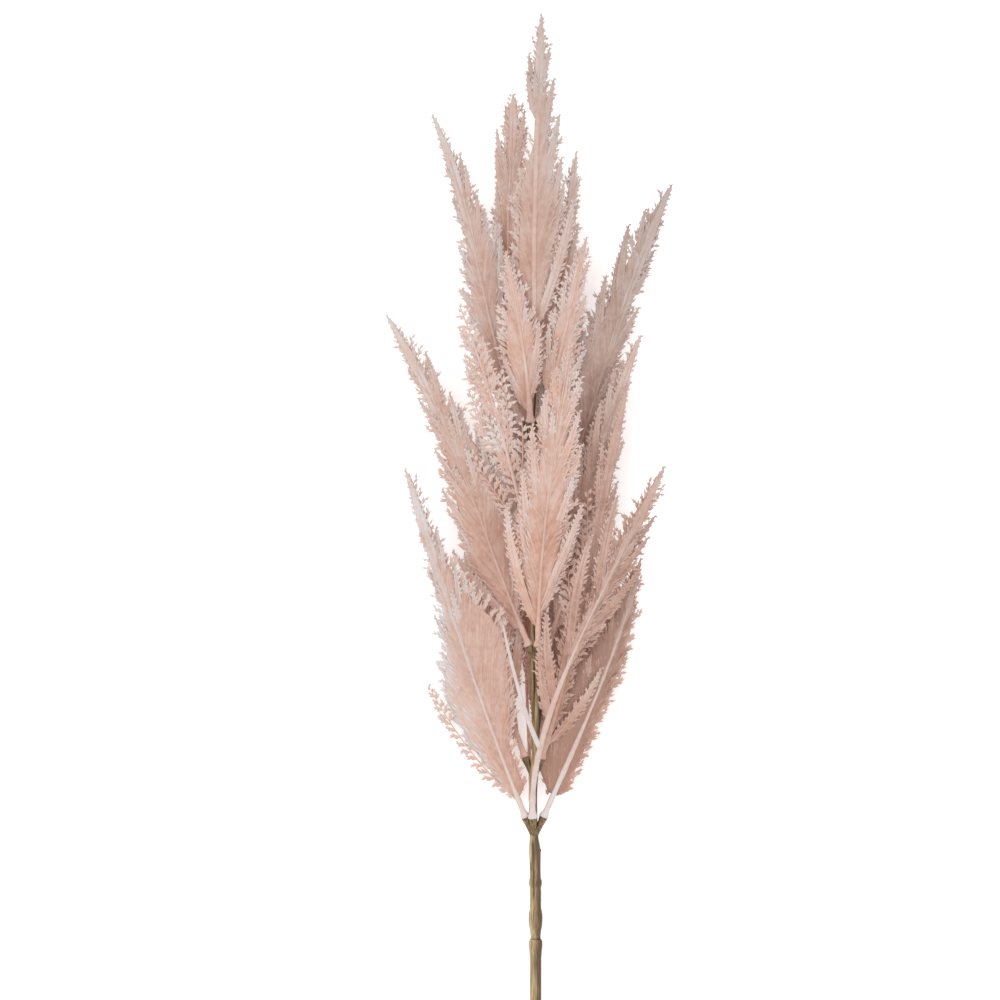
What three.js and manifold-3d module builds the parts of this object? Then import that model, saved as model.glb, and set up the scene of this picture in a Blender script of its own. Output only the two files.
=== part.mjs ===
// A stem of pink pampas grass of the moulded, artificial kind, lying on a surface: nineteen feathery
// pink sprays plugged into the sockets of a brown sleeved stem with a steel wire inside.
// Millimetres. +Y runs from the cut end to the plume's tip, +Z is up, the surface is at the lowest point.
import * as THREE from "three";
import { mergeVertices } from "three/addons/utils/BufferGeometryUtils.js";
import Module from "manifold-3d";

const wasm = await Module();
wasm.setup();

// Fits between pieces
const GAP = 0.3;

// Stem: centre line as [x, y], radius as [y, r], both from the cut end upwards
const STEM_RISE = 0.05;
const STEM_LINE = [
  [0.6, 0], [0.6, 167], [0.3, 245], [-1.0, 285], [1.6, 335],
  [2.2, 377], [-0.4, 440], [-2.2, 503], [-0.6, 530], [0.9, 560],
];
const LOWER_STEM = [[0, 3.4], [40, 3.3], [90, 3.45], [140, 3.3], [192, 3.4], [196, 3.72], [200.6, 3.6]];
const UPPER_STEM = [
  [200.9, 2.64], [206, 2.64], [209, 4.1], [214, 4.25], [219, 3.2], [231, 3.5], [234.5, 4.0], [238, 3.3],
  [254, 3.7], [262, 4.1], [268, 3.4], [275, 2.3], [292, 2.3], [298, 3.0], [304, 2.8], [310, 2.2],
  [335, 2.2], [361, 2.1], [367, 2.8], [378, 2.1], [425, 2.0], [431, 2.7], [442, 2.0],
  [496, 1.95], [502, 2.6], [513, 1.9], [543, 1.8], [549, 2.4], [559, 1.2],
];
const STEM_SIDES = 12;
const CUT_END_HEIGHT = LOWER_STEM[0][1] * Math.cos(Math.PI / STEM_SIDES);
const SPIGOT = { from: 187, to: 200.8, seat: 230, radius: 2.2 };
const WIRE = { radius: 1.1, from: 0, to: 470 };
const WIRE_BENDS = [90, 180, 240, 290, 340, 380, 430];
const CUT_END_MARGIN = 5;

// Sockets: short stubs that stand off the stem in whorls and hold the pegs of the sprays. A stub's
// profile is [distance from the stem's centre line, radius]
const WHORLS = [262, 298, 366, 430, 501, 548];
const STUB_ANGLE = 24;
const STUB = [[2.5, 1.7], [9, 2.0], [14, 2.45]];
const STUB_LENGTH = 14;
const STUB_SIDES = 6;
const STUB_REFERENCE = new THREE.Vector3(0.3, 0.1, 0.9);
const PEG = { radius: 1.2, length: 5 };
const MOUTH_MARGIN = 1;

// Sprays: tip [x, y, z] from the cut end, bend of the rib [x, z], face as degrees round the stem
// from +X towards +Z, angle of the side feathers, their length as a part of the rib's on each side, and
// the side that the lowest one is on: 1 is the left seen from outside. `bare` is the part of the rib that
// has no feathers, on the left and the right, and a forked spray carries a bare rod
const SPRAYS = [
  { name: "spray_1_left", whorl: 0, around: 155, tip: [-78, 487, 46], bend: [-2, 4],
    face: 112, angle: 21, reach: [0.32, 0.46], lead: 1 },
  { name: "spray_1_front", whorl: 0, around: 98, tip: [77, 488, 66], bend: [-7, 6],
    face: 80, angle: 20, reach: [0.5, 0.36], lead: 1, bare: [0.42, 0.42], forked: true },
  { name: "spray_1_right", whorl: 0, around: 12, tip: [64, 433, 28], bend: [9, -2],
    face: 74, angle: 20, reach: [0.4, 0.27], lead: -1, bare: [0, 0.42] },
  { name: "spray_1_back", whorl: 0, around: 262, tip: [-9, 480, 0], bend: [0, -14],
    face: 268, angle: 22, reach: [0.44, 0.44], lead: 1, bare: [0.42, 0.42] },
  { name: "spray_2_left", whorl: 1, around: 205, tip: [-37, 481, 24], bend: [-4, -4],
    face: 110, angle: 20, reach: [0.42, 0.42], lead: 1 },
  { name: "spray_2_right", whorl: 1, around: 38, tip: [55, 534, 45], bend: [-1, 1],
    face: 80, angle: 19, reach: [0.28, 0.25], lead: -1 },
  { name: "spray_2_back", whorl: 1, around: 305, tip: [38, 486, 17], bend: [8, 2],
    face: 60, angle: 21, reach: [0.4, 0.42], lead: 1 },
  { name: "spray_3_left", whorl: 2, around: 168, tip: [-90, 579, 42], bend: [13, -2],
    face: 96, angle: 20, reach: [0.28, 0.42], lead: 1 },
  { name: "spray_3_front", whorl: 2, around: 92, tip: [21, 560, 70], bend: [-4, 11],
    face: 90, angle: 19, reach: [0.42, 0.42], lead: 1 },
  { name: "spray_3_right", whorl: 2, around: 25, tip: [64, 567, 40], bend: [-8, -1],
    face: 76, angle: 18, reach: [0.36, 0.24], lead: -1 },
  { name: "spray_4_left", whorl: 3, around: 125, tip: [-46, 585, 54], bend: [5, 4],
    face: 104, angle: 20, reach: [0.42, 0.36], lead: 1 },
  { name: "spray_4_right", whorl: 3, around: 2, tip: [83, 658, 38], bend: [-8, -4],
    face: 80, angle: 20, reach: [0.43, 0.24], lead: 1 },
  { name: "spray_4_back", whorl: 3, around: 268, tip: [4, 642, 0], bend: [0, -12],
    face: 270, angle: 21, reach: [0.42, 0.42], lead: -1 },
  { name: "spray_5_left", whorl: 4, around: 172, tip: [-62, 699, 42], bend: [10, -2],
    face: 100, angle: 20, reach: [0.27, 0.44], lead: 1 },
  { name: "spray_5_front", whorl: 4, around: 95, tip: [-18, 616, 54], bend: [2, 5],
    face: 92, angle: 18, reach: [0.4, 0.4], lead: 1 },
  { name: "spray_5_right", whorl: 4, around: 32, tip: [31, 625, 48], bend: [0, 3],
    face: 80, angle: 20, reach: [0.4, 0.4], lead: -1 },
  { name: "spray_6_top", whorl: 5, around: 95, tip: [4, 760, 42], bend: [-1, 6],
    face: 90, angle: 17, reach: [0.38, 0.38], lead: -1, bare: [0.66, 0] },
  { name: "spray_6_left", whorl: 5, around: 192, tip: [-13, 713, 26], bend: [-2, -3],
    face: 110, angle: 18, reach: [0.36, 0.36], lead: 1 },
  { name: "spray_6_right", whorl: 5, around: 350, tip: [25, 678, 32], bend: [2, -2],
    face: 60, angle: 18, reach: [0.32, 0.32], lead: -1 },
];

// Main rib of a spray: half width and half thickness at its shoulder, foot and far end. It leaves its
// socket straight and takes its bend further out, both as parts of its span
const SHOULDER = [3.0, 2.4];
const RIB_FOOT = [2.1, 1.7];
const RIB_END = [0.9, 0.75];
const RIB_REACH = 0.8;
const RIB_TAPER = 0.7;
const RIB_SIDES = 4;
const RIB_RING_PITCH = 16;
const RIB_STRAIGHT = 0.3;
const RIB_BEND_AT = 0.65;

// Side feathers of a spray: their number and places along the rib, and how their length falls off
const FEATHER_SPACING = 25;
const FEATHER_COUNT = [5, 8];
const FIRST_FEATHER = 0.03;
const LAST_FEATHER = 0.73;
const LENGTH_POWER = 0.85;
const LEAST_LENGTH = 0.12;
const LOW_SPREAD = [14, 9, 9, 9, 9, 9];
const LOW_PART = 0.3;
const CURL = 0.32;
const ARCH_RADIUS = 48;
const SPIKE_START = 0.75;
const SPIKE_LEAFLETS = 5;

// The bare rod that forks off a forked spray's main rib: its half sizes at the foot and at the end
const FORK = { from: 48, length: 72, angle: 32, lift: 3, foot: [1.5, 1.3], end: [0.45, 0.4] };
const FORK_RINGS = 4;
const FORK_SIDES = 6;

// Outline of a feather: a thin blade, widest in the middle, cut into pointed leaflets on both sides
const BLADE_THICKNESS = 0.7;
const SURFACE_GAP = 0.01;
const WIDEST_HALF = 6.8;
const POINT_HALF = 0.9;
const POINT_SLOPE = 0.11;
const FOOT_HALF = 0.8;
const FOOT_SLOPE = 0.3;
const INNER_ROOM = 0.92;
const INNER_GAP = 0.6;
const CUT_DEPTH = 0.52;
const LEAFLET_PITCH = 17;
const LEAFLET_COUNT = [3, 5];
const LEAST_LEAFLET = 1.5;
const BARE_FOOT = 0.12;
const BARE_POINT = 0.3;
const TANGENT_STEP = 0.02;

// Ranges of the fixed random draws
const PLACE_SHIFT = 0.3;
const LENGTH_RANGE = [0.92, 1.08];
const ANGLE_RANGE = [0.9, 1.15];
const LIFT_RANGE = [0.8, 2.2];
const DROP_RANGE = [-0.32, 0.58];
const LEAFLET_REACH = [0.6, 1.0];
const DRAW = { place: 1, length: 2, angle: 3, lift: 4, drop: 5, left: 6, right: 7 };
const SEEDS_A_SPRAY = 20;
const SPIKE_SEED = 19;

const deg = THREE.MathUtils.degToRad;
const clamp = THREE.MathUtils.clamp;

// A fixed number from 0 to 1 for each item, number and use: the fraction of a large sine
function chance(item, number, use) {
  const s = Math.sin(item * 127.1 + number * 311.7 + use * 74.7) * 43758.5453;
  return s - Math.floor(s);
}

function within([low, high], share) {
  return low + (high - low) * share;
}

function material(colour, roughness, metalness) {
  return new THREE.MeshStandardMaterial({ color: colour, roughness, metalness, side: THREE.FrontSide });
}

// A closed surface of points and triangles as a solid
function solid(points, triangles) {
  const flat = new Float32Array(points.flatMap((p) => [p.x, p.y, p.z]));
  const geometry = new THREE.BufferGeometry();
  geometry.setAttribute("position", new THREE.BufferAttribute(flat, 3));
  geometry.setIndex(triangles.flat());
  const merged = mergeVertices(geometry, 1e-4);
  const vertProperties = merged.attributes.position.array;
  const triVerts = new Uint32Array(merged.index.array);
  return new wasm.Manifold(new wasm.Mesh({ numProp: 3, vertProperties, triVerts }));
}

// A closed tube: rings round a path, each { at, side, up, a, b } with half sizes a and b along side and up
function tube(rings, sides) {
  const points = [];
  for (const ring of rings) {
    for (let i = 0; i < sides; i++) {
      const turn = (2 * Math.PI * (i + 0.5)) / sides;
      const point = ring.at.clone();
      point.addScaledVector(ring.side, ring.a * Math.cos(turn));
      point.addScaledVector(ring.up, ring.b * Math.sin(turn));
      points.push(point);
    }
  }
  const triangles = [];
  const last = (rings.length - 1) * sides;
  for (let i = 0; i < sides; i++) {
    const next = (i + 1) % sides;
    for (let r = 0; r < last; r += sides) {
      triangles.push([r + i, r + next, r + sides + next]);
      triangles.push([r + i, r + sides + next, r + sides + i]);
    }
    if (i > 1) {
      triangles.push([0, i, i - 1]);
      triangles.push([last, last + i - 1, last + i]);
    }
  }
  return solid(points, triangles);
}

const stemCurve = new THREE.CatmullRomCurve3(
  STEM_LINE.map(([x, y]) => new THREE.Vector3(x, y, CUT_END_HEIGHT + STEM_RISE * y)),
);
const stemSamples = stemCurve.getPoints(400);

// The point of the stem's centre line at a height y along it
function stemPoint(y) {
  const next = clamp(stemSamples.findIndex((p) => p.y >= y), 1, stemSamples.length - 1);
  const a = stemSamples[next - 1];
  const b = stemSamples[next];
  return a.clone().lerp(b, (y - a.y) / (b.y - a.y));
}

function stemTube(profile, sides) {
  const rings = profile.map(([y, r]) => ({
    at: stemPoint(y), side: new THREE.Vector3(-1, 0, 0), up: new THREE.Vector3(0, 0, 1), a: r, b: r,
  }));
  return tube(rings, sides);
}

// Straight round tube from a point along a direction, with radius as [distance, r]
function stub(from, direction, profile, sides) {
  const side = new THREE.Vector3().crossVectors(direction, STUB_REFERENCE).normalize();
  const up = new THREE.Vector3().crossVectors(direction, side);
  const rings = profile.map(([d, r]) => ({
    at: from.clone().addScaledVector(direction, d), side, up, a: r, b: r,
  }));
  return tube(rings, sides);
}

// Where a spray's socket stands on the stem, and which way it points
function socket(spray) {
  const root = stemPoint(WHORLS[spray.whorl]);
  const around = deg(spray.around);
  const out = Math.sin(deg(STUB_ANGLE));
  const along = Math.cos(deg(STUB_ANGLE));
  const direction = new THREE.Vector3(out * Math.cos(around), along, out * Math.sin(around)).normalize();
  return { root, direction, rim: root.clone().addScaledVector(direction, STUB_LENGTH) };
}

// The curve of a spray's main rib and the frame along it, in which a flat spray is bent
function ribOf(spray) {
  const { direction, rim } = socket(spray);
  const start = rim.clone().addScaledVector(direction, GAP);
  const end = new THREE.Vector3(...spray.tip);
  const span = start.distanceTo(end);
  const near = start.clone().addScaledVector(direction, RIB_STRAIGHT * span);
  const bend = new THREE.Vector3(spray.bend[0], 0, spray.bend[1]);
  const far = start.clone().lerp(end, RIB_BEND_AT).add(bend);
  const curve = new THREE.CubicBezierCurve3(start, near, far, end);
  curve.arcLengthDivisions = 400;
  const facing = new THREE.Vector3(Math.cos(deg(spray.face)), 0, Math.sin(deg(spray.face)));
  return { curve, length: curve.getLength(), facing };
}

function frameAt(rib, along) {
  const part = clamp(along / rib.length, 0, 1);
  const tangent = rib.curve.getTangentAt(part);
  const at = rib.curve.getPointAt(part).addScaledVector(tangent, along - part * rib.length);
  const side = new THREE.Vector3().crossVectors(rib.facing, tangent).normalize();
  const up = new THREE.Vector3().crossVectors(tangent, side);
  return { at, side, up };
}

// A point of the flat spray, `along` its rib and `across` it, bent into place and kept off the surface
function bent(rib, along, across, lift, clear) {
  const { at, side, up } = frameAt(rib, along);
  const arch = (across * across) / (2 * ARCH_RADIUS);
  const point = at.addScaledVector(side, across).addScaledVector(up, lift - arch);
  point.z = Math.max(point.z, clear);
  return point;
}

// The centre line of a feather on the flat spray as { along, across, lift }, with part u of its length
function featherLine(feather, u) {
  const curl = 1 - CURL * u;
  return {
    along: feather.from + feather.length * Math.cos(feather.angle) * u,
    across: feather.sign * feather.length * Math.sin(feather.angle) * u * curl,
    lift: feather.lift * u,
  };
}

// Half width of a feather left and right at part u of its length; the side next to the main rib is narrower
function halfWidths(feather, u) {
  const fromTip = POINT_HALF + POINT_SLOPE * (1 - u) * feather.length;
  const fromFoot = FOOT_HALF + FOOT_SLOPE * u * feather.length;
  const full = Math.min(WIDEST_HALF, fromTip, feather.angle ? fromFoot : WIDEST_HALF);
  const room = Math.max(FOOT_HALF, INNER_ROOM * Math.abs(featherLine(feather, u).across) - INNER_GAP);
  const inner = feather.angle ? Math.min(full, room) : full;
  return feather.sign > 0 ? [full, inner] : [inner, full];
}

// The points of a blade: thick ones are a pair, above and below the sheet, and pointed ones lie in it
function bladePoints(rib, feather) {
  const half = BLADE_THICKNESS / 2;
  const thickness = frameAt(rib, featherLine(feather, 0.5).along).up.multiplyScalar(half);
  const points = [];
  const at = (u, sideways, forwards, drop) => {
    const a = featherLine(feather, u);
    const b = featherLine(feather, u + TANGENT_STEP);
    const run = Math.hypot(b.along - a.along, b.across - a.across);
    const [ahead, aside] = [(b.along - a.along) / run, (b.across - a.across) / run];
    const along = a.along + ahead * forwards - aside * sideways;
    const across = a.across + aside * forwards + ahead * sideways;
    return bent(rib, along, across, a.lift - drop, half + SURFACE_GAP);
  };
  const thick = (u, sideways) => {
    const middle = at(u, sideways, 0, 0);
    points.push(middle.clone().add(thickness), middle.clone().sub(thickness));
    return { above: points.length - 2, below: points.length - 1 };
  };
  const pointed = (u, sideways, forwards, drop) => {
    points.push(at(u, sideways, forwards, drop));
    return { above: points.length - 1, below: points.length - 1 };
  };
  return { points, thick, pointed };
}

// The closed skin of a blade from the triangles of its sheet and the loop round its outline
function bladeSkin(points, sheet, loop) {
  const triangles = [];
  const push = (a, b, c) => {
    if (a !== b && b !== c && c !== a) triangles.push([a, b, c]);
  };
  for (const [a, b, c] of sheet) {
    push(a.above, b.above, c.above);
    push(a.below, c.below, b.below);
  }
  loop.forEach((a, i) => {
    const b = loop[(i + 1) % loop.length];
    push(a.above, a.below, b.below);
    push(a.above, b.below, b.above);
  });
  return solid(points, triangles);
}

// A thin blade with `leaflets` pointed leaflets a side
function featherSolid(rib, feather, leaflets) {
  const { points, thick, pointed } = bladePoints(rib, feather);
  const step = (1 - BARE_FOOT) / (leaflets + BARE_POINT);
  const foot = { left: thick(0, FOOT_HALF), right: thick(0, -FOOT_HALF) };
  const notches = [];
  const tips = [];
  for (let i = 0; i <= leaflets; i++) {
    const u = BARE_FOOT + i * step;
    const [leftHalf, rightHalf] = halfWidths(feather, u);
    const cut = 1 - CUT_DEPTH;
    notches.push({ left: thick(u, cut * leftHalf), right: thick(u, -cut * rightHalf) });
    const drop = within(DROP_RANGE, chance(feather.seed, i, DRAW.drop));
    const forwards = (use) => step * feather.length * within(LEAFLET_REACH, chance(feather.seed, i, use));
    const hasTip = (half) => i < leaflets && half > LEAST_LEAFLET;
    tips.push({
      left: hasTip(leftHalf) ? pointed(u, leftHalf, forwards(DRAW.left), drop) : null,
      right: hasTip(rightHalf) ? pointed(u, -rightHalf, forwards(DRAW.right), DROP_RANGE[1] - drop) : null,
    });
  }
  const end = notches[leaflets];
  const apex = pointed(1, 0, 0, 0);
  const sheet = [
    [foot.left, foot.right, notches[0].right],
    [foot.left, notches[0].right, notches[0].left],
  ];
  for (let i = 0; i < leaflets; i++) {
    const [a, b] = [notches[i], notches[i + 1]];
    sheet.push([a.left, a.right, b.right], [a.left, b.right, b.left]);
    if (tips[i].left) sheet.push([a.left, b.left, tips[i].left]);
    if (tips[i].right) sheet.push([a.right, tips[i].right, b.right]);
  }
  sheet.push([end.left, end.right, apex]);
  const rightEdge = notches.flatMap((notch, i) => [notch.right, tips[i].right]);
  const leftEdge = notches.flatMap((notch, i) => [notch.left, tips[i].left]).reverse();
  const loop = [foot.left, foot.right, ...rightEdge, apex, ...leftEdge].filter((point) => point);
  return bladeSkin(points, sheet, loop);
}

// The side feathers of a spray from its foot to its spike, left and right in turn
function sideFeathers(spray, index, rib) {
  const count = clamp(Math.round(rib.length / FEATHER_SPACING), ...FEATHER_COUNT);
  const feathers = [];
  for (let j = 0; j < count; j++) {
    const place = (j + PLACE_SHIFT * chance(index, j, DRAW.place)) / (count - 1 + PLACE_SHIFT);
    const part = within([FIRST_FEATHER, LAST_FEATHER], place);
    const sign = j % 2 ? -spray.lead : spray.lead;
    if (spray.bare && part < spray.bare[sign > 0 ? 0 : 1]) continue;
    const reach = spray.reach[sign > 0 ? 0 : 1] * (Math.pow(1 - part, LENGTH_POWER) + LEAST_LENGTH);
    const angle = spray.angle * within(ANGLE_RANGE, chance(index, j, DRAW.angle));
    const spread = LOW_SPREAD[spray.whorl] * Math.max(0, 1 - part / LOW_PART);
    feathers.push({
      from: part * rib.length,
      length: rib.length * reach * within(LENGTH_RANGE, chance(index, j, DRAW.length)),
      angle: deg(angle + spread),
      sign,
      lift: (j % 4 < 2 ? 1 : -1) * within(LIFT_RANGE, chance(index, j, DRAW.lift)),
      seed: index * SEEDS_A_SPRAY + j,
    });
  }
  return feathers;
}

// Peg, shoulder and tapering main rib of a spray, with rings on its bare part and where a feather leaves it
function spine(rib, feathers) {
  const stations = [
    [-PEG.length, PEG.radius, PEG.radius],
    [0, PEG.radius, PEG.radius],
    [0, ...SHOULDER],
  ];
  const bare = Math.floor(feathers[0].from / RIB_RING_PITCH);
  const places = Array.from({ length: bare }, (_, i) => (i + 0.5) * RIB_RING_PITCH);
  for (const along of [...places, ...feathers.map((feather) => feather.from), RIB_REACH * rib.length]) {
    const taper = Math.pow(along / rib.length / RIB_REACH, RIB_TAPER);
    const size = (i) => within([RIB_FOOT[i], RIB_END[i]], taper);
    stations.push([along, size(0), size(1)]);
  }
  const rings = stations.map(([along, a, b]) => {
    const frame = frameAt(rib, along);
    frame.at.z = Math.max(frame.at.z, b * Math.SQRT1_2 + SURFACE_GAP);
    return { ...frame, a, b };
  });
  return tube(rings, RIB_SIDES);
}

// A straight rod that leaves the main rib to the left and tapers to its end
function forkRod(rib) {
  const rings = [];
  for (let i = 0; i < FORK_RINGS; i++) {
    const u = i / (FORK_RINGS - 1);
    const along = FORK.from + FORK.length * Math.cos(deg(FORK.angle)) * u;
    const across = FORK.length * Math.sin(deg(FORK.angle)) * u;
    const { side, up } = frameAt(rib, along);
    const size = (k) => within([FORK.foot[k], FORK.end[k]], u);
    rings.push({ at: bent(rib, along, across, FORK.lift * u, 0), side, up, a: size(0), b: size(1) });
  }
  return tube(rings, FORK_SIDES);
}

function spraySolid(spray, index) {
  const rib = ribOf(spray);
  const feathers = sideFeathers(spray, index, rib);
  const spike = {
    from: SPIKE_START * rib.length,
    length: (1 - SPIKE_START) * rib.length,
    angle: 0,
    sign: 1,
    lift: 0,
    seed: index * SEEDS_A_SPRAY + SPIKE_SEED,
  };
  let made = spine(rib, feathers).add(featherSolid(rib, spike, SPIKE_LEAFLETS));
  for (const feather of feathers) {
    const leaflets = clamp(Math.round(feather.length / LEAFLET_PITCH), ...LEAFLET_COUNT);
    made = made.add(featherSolid(rib, feather, leaflets));
  }
  return spray.forked ? made.add(forkRod(rib)) : made;
}

// A rod that follows the bends of the wire, for the wire itself and for its bore
function wireRod(from, to, radius) {
  return stemTube([from, ...WIRE_BENDS, to].map((y) => [y, radius]), STUB_SIDES);
}

function stemWire() {
  return wireRod(WIRE.from, WIRE.to, WIRE.radius);
}

// The blind hole for the wire, open at the cut end
function wireBore() {
  return wireRod(WIRE.from - CUT_END_MARGIN, WIRE.to + GAP, WIRE.radius + GAP);
}

// Lower tube of the stem, with the seat that the upper stem's spigot goes into
function lowerStem() {
  const radius = SPIGOT.radius + GAP;
  const seat = stemTube([[SPIGOT.from - GAP, radius], [SPIGOT.seat, radius]], STEM_SIDES);
  return stemTube(LOWER_STEM, STEM_SIDES).subtract(seat).subtract(wireBore());
}

// Upper stem: spigot, thickened joints and the stubs, each with a hole for its spray's peg
function upperStem() {
  const spigot = [[SPIGOT.from, SPIGOT.radius], [SPIGOT.to, SPIGOT.radius]];
  const radius = PEG.radius + GAP;
  const hole = [[STUB_LENGTH - PEG.length - GAP, radius], [STUB_LENGTH + MOUTH_MARGIN, radius]];
  let made = stemTube([...spigot, ...UPPER_STEM], STEM_SIDES);
  for (const spray of SPRAYS) {
    const { root, direction } = socket(spray);
    made = made.add(stub(root, direction, STUB, STUB_SIDES));
  }
  for (const spray of SPRAYS) {
    const { root, direction } = socket(spray);
    made = made.subtract(stub(root, direction, hole, STUB_SIDES));
  }
  return made.subtract(wireBore());
}

function meshOf(name, made, look) {
  const { vertProperties, triVerts, numProp } = made.getMesh();
  const count = vertProperties.length / numProp;
  const points = new Float32Array(count * 3);
  for (let i = 0; i < count; i++) {
    points.set(vertProperties.subarray(i * numProp, i * numProp + 3), i * 3);
  }
  const geometry = new THREE.BufferGeometry();
  geometry.setAttribute("position", new THREE.BufferAttribute(points, 3));
  geometry.setIndex(new THREE.BufferAttribute(triVerts, 1));
  const mesh = new THREE.Mesh(geometry, look);
  mesh.name = name;
  return mesh;
}

const part = new THREE.Group();
part.add(meshOf("stem_lower", lowerStem(), material(0x93805f, 0.55, 0)));
part.add(meshOf("stem_upper", upperStem(), material(0x8b7552, 0.55, 0)));
part.add(meshOf("stem_wire", stemWire(), material(0x9a9a98, 0.4, 1)));
SPRAYS.forEach((spray, index) => {
  part.add(meshOf(spray.name, spraySolid(spray, index), material(0xd9b5a8, 0.6, 0)));
});

// The origin lies under the middle of the whole stem, on the surface
const box = new THREE.Box3().setFromObject(part);
part.position.set(-(box.min.x + box.max.x) / 2, -(box.min.y + box.max.y) / 2, -box.min.z);

export default part;
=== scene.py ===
"""Looks of a stem of artificial pink pampas grass that lies on a pale floor.

Lengths are millimetres measured from the cut end of the stem: +X to the right, +Y towards the plume's
tip, +Z up. Each spray is worked out flat, as distance along its main rib, across it and off it, and is
then bent round the rib's curve. `in_frame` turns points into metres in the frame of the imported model.
"""
import math
from collections import namedtuple

import bpy
import numpy as np
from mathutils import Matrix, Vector


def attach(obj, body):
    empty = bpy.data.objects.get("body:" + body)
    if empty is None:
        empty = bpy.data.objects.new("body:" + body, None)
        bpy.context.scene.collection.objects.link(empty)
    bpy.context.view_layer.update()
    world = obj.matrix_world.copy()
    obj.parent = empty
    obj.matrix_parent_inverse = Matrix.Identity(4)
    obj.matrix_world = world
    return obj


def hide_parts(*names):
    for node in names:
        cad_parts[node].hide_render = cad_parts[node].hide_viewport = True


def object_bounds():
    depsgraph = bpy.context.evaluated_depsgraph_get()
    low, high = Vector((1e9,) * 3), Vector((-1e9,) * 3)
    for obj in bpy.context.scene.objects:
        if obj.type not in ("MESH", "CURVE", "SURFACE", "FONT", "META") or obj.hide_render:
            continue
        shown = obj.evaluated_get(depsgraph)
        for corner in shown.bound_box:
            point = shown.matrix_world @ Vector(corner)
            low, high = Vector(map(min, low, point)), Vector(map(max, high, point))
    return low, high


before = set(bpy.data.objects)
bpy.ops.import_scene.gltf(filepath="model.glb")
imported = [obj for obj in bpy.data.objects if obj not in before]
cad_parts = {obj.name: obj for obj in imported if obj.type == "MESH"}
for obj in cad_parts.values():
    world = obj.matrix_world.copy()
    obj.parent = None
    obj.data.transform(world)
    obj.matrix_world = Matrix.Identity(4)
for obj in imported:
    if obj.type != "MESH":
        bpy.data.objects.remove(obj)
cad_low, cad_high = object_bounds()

# Stem: centre line as x and y, and how it rises from the cut end
STEM_LINE = np.array([
    (0.6, 0), (0.6, 167), (0.3, 245), (-1.0, 285), (1.6, 335),
    (2.2, 377), (-0.4, 440), (-2.2, 503), (-0.6, 530), (0.9, 560),
], float)
STEM_STEPS = 60
STEM_RISE = 0.05
CUT_END_RADIUS = 3.4
CUT_END_HEIGHT = CUT_END_RADIUS * math.cos(math.pi / 12)

# Outside of the two stem parts as distance from the cut end and radius
LOWER_STEM = (
    (0, 3.35), (20, 3.3), (90, 3.4), (165, 3.45), (180, 3.5), (189, 3.5), (193, 3.75), (196.5, 4.15),
    (199, 4.1), (200.3, 3.7), (200.6, 3.3),
)
UPPER_STEM = (
    (200.8, 3.05), (202.5, 3.0), (206, 3.35), (208.5, 3.9), (213, 4.2), (216, 4.1), (219.5, 3.4), (224, 3.3),
    (228, 3.45), (232, 3.3), (234, 3.85), (236, 3.9), (238, 3.3), (242, 3.2), (247, 3.3), (253, 3.55),
    (258, 3.2), (262, 2.6), (285, 2.35), (296, 2.4), (299, 2.6), (303, 2.3), (362, 2.1), (367, 2.5),
    (371, 2.05), (427, 1.9), (431, 2.3), (435, 1.85), (498, 1.7), (502, 2.1), (506, 1.6), (545, 1.45),
    (549, 1.8), (554, 1.2), (559, 0.5),
)
SPIGOT = {"from": 187, "radius": 2.2, "seat_radius": 2.5, "seat_from": 186.7}
WIRE_BORE = {"radius": 1.4, "to": 470.3, "wall": 0.1}

# Surface of the stem: ridges round it, a groove, its paint with painted light and shade, and scars of the
# mould as distance from the cut end, degrees round it, distance from its middle and half sizes
STEM_SIDES = 48
STEM_FLATNESS = 0.93
RIDGES = {"count": 5, "twist": 0.02, "fine_count": 11, "fine": 0.6, "height": 0.02}
GROOVE = {"from": 224, "to": 262, "ends": 4, "turn": 2.0, "wide": 0.2, "deep": 0.9}
# The stem's paleness: side and from give painted light, palest on the upper left where the key lamp falls;
# groove is painted shade; middle, socket and scar are its paint
PAINT_AND_LIGHT = {"side": 0.5, "from": 2.6, "middle": 0.2, "groove": 0.6, "socket": 0.35, "scar": 0.3}
SCARS = (
    (224.6, 20, 3.0, (0.7, 1.1)), (254.6, 8, 3.2, (0.8, 1.3)), (246, 150, 3.0, (0.55, 4.0)),
    (194, 60, 3.0, (0.5, 2.4)),
)
SCAR_RINGS, SCAR_SIDES, SCAR_POLE = 9, 12, 0.15

# Sockets, as distance along their axis and radius, and the pegs in them
GAP = 0.3
WHORLS = (262, 298, 366, 430, 501, 548)
STUB_ANGLE = 24
STUB_LENGTH = 14
CUP = ((0, 1.5), (5, 1.65), (9, 1.9), (12.6, 2.35), (13.6, 2.55), (14, 2.4), (14, 1.55), (8.7, 1.5))
CUP_SIDES = 20
PEG_LENGTH = 5
PEG_RADIUS = 1.2

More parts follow.
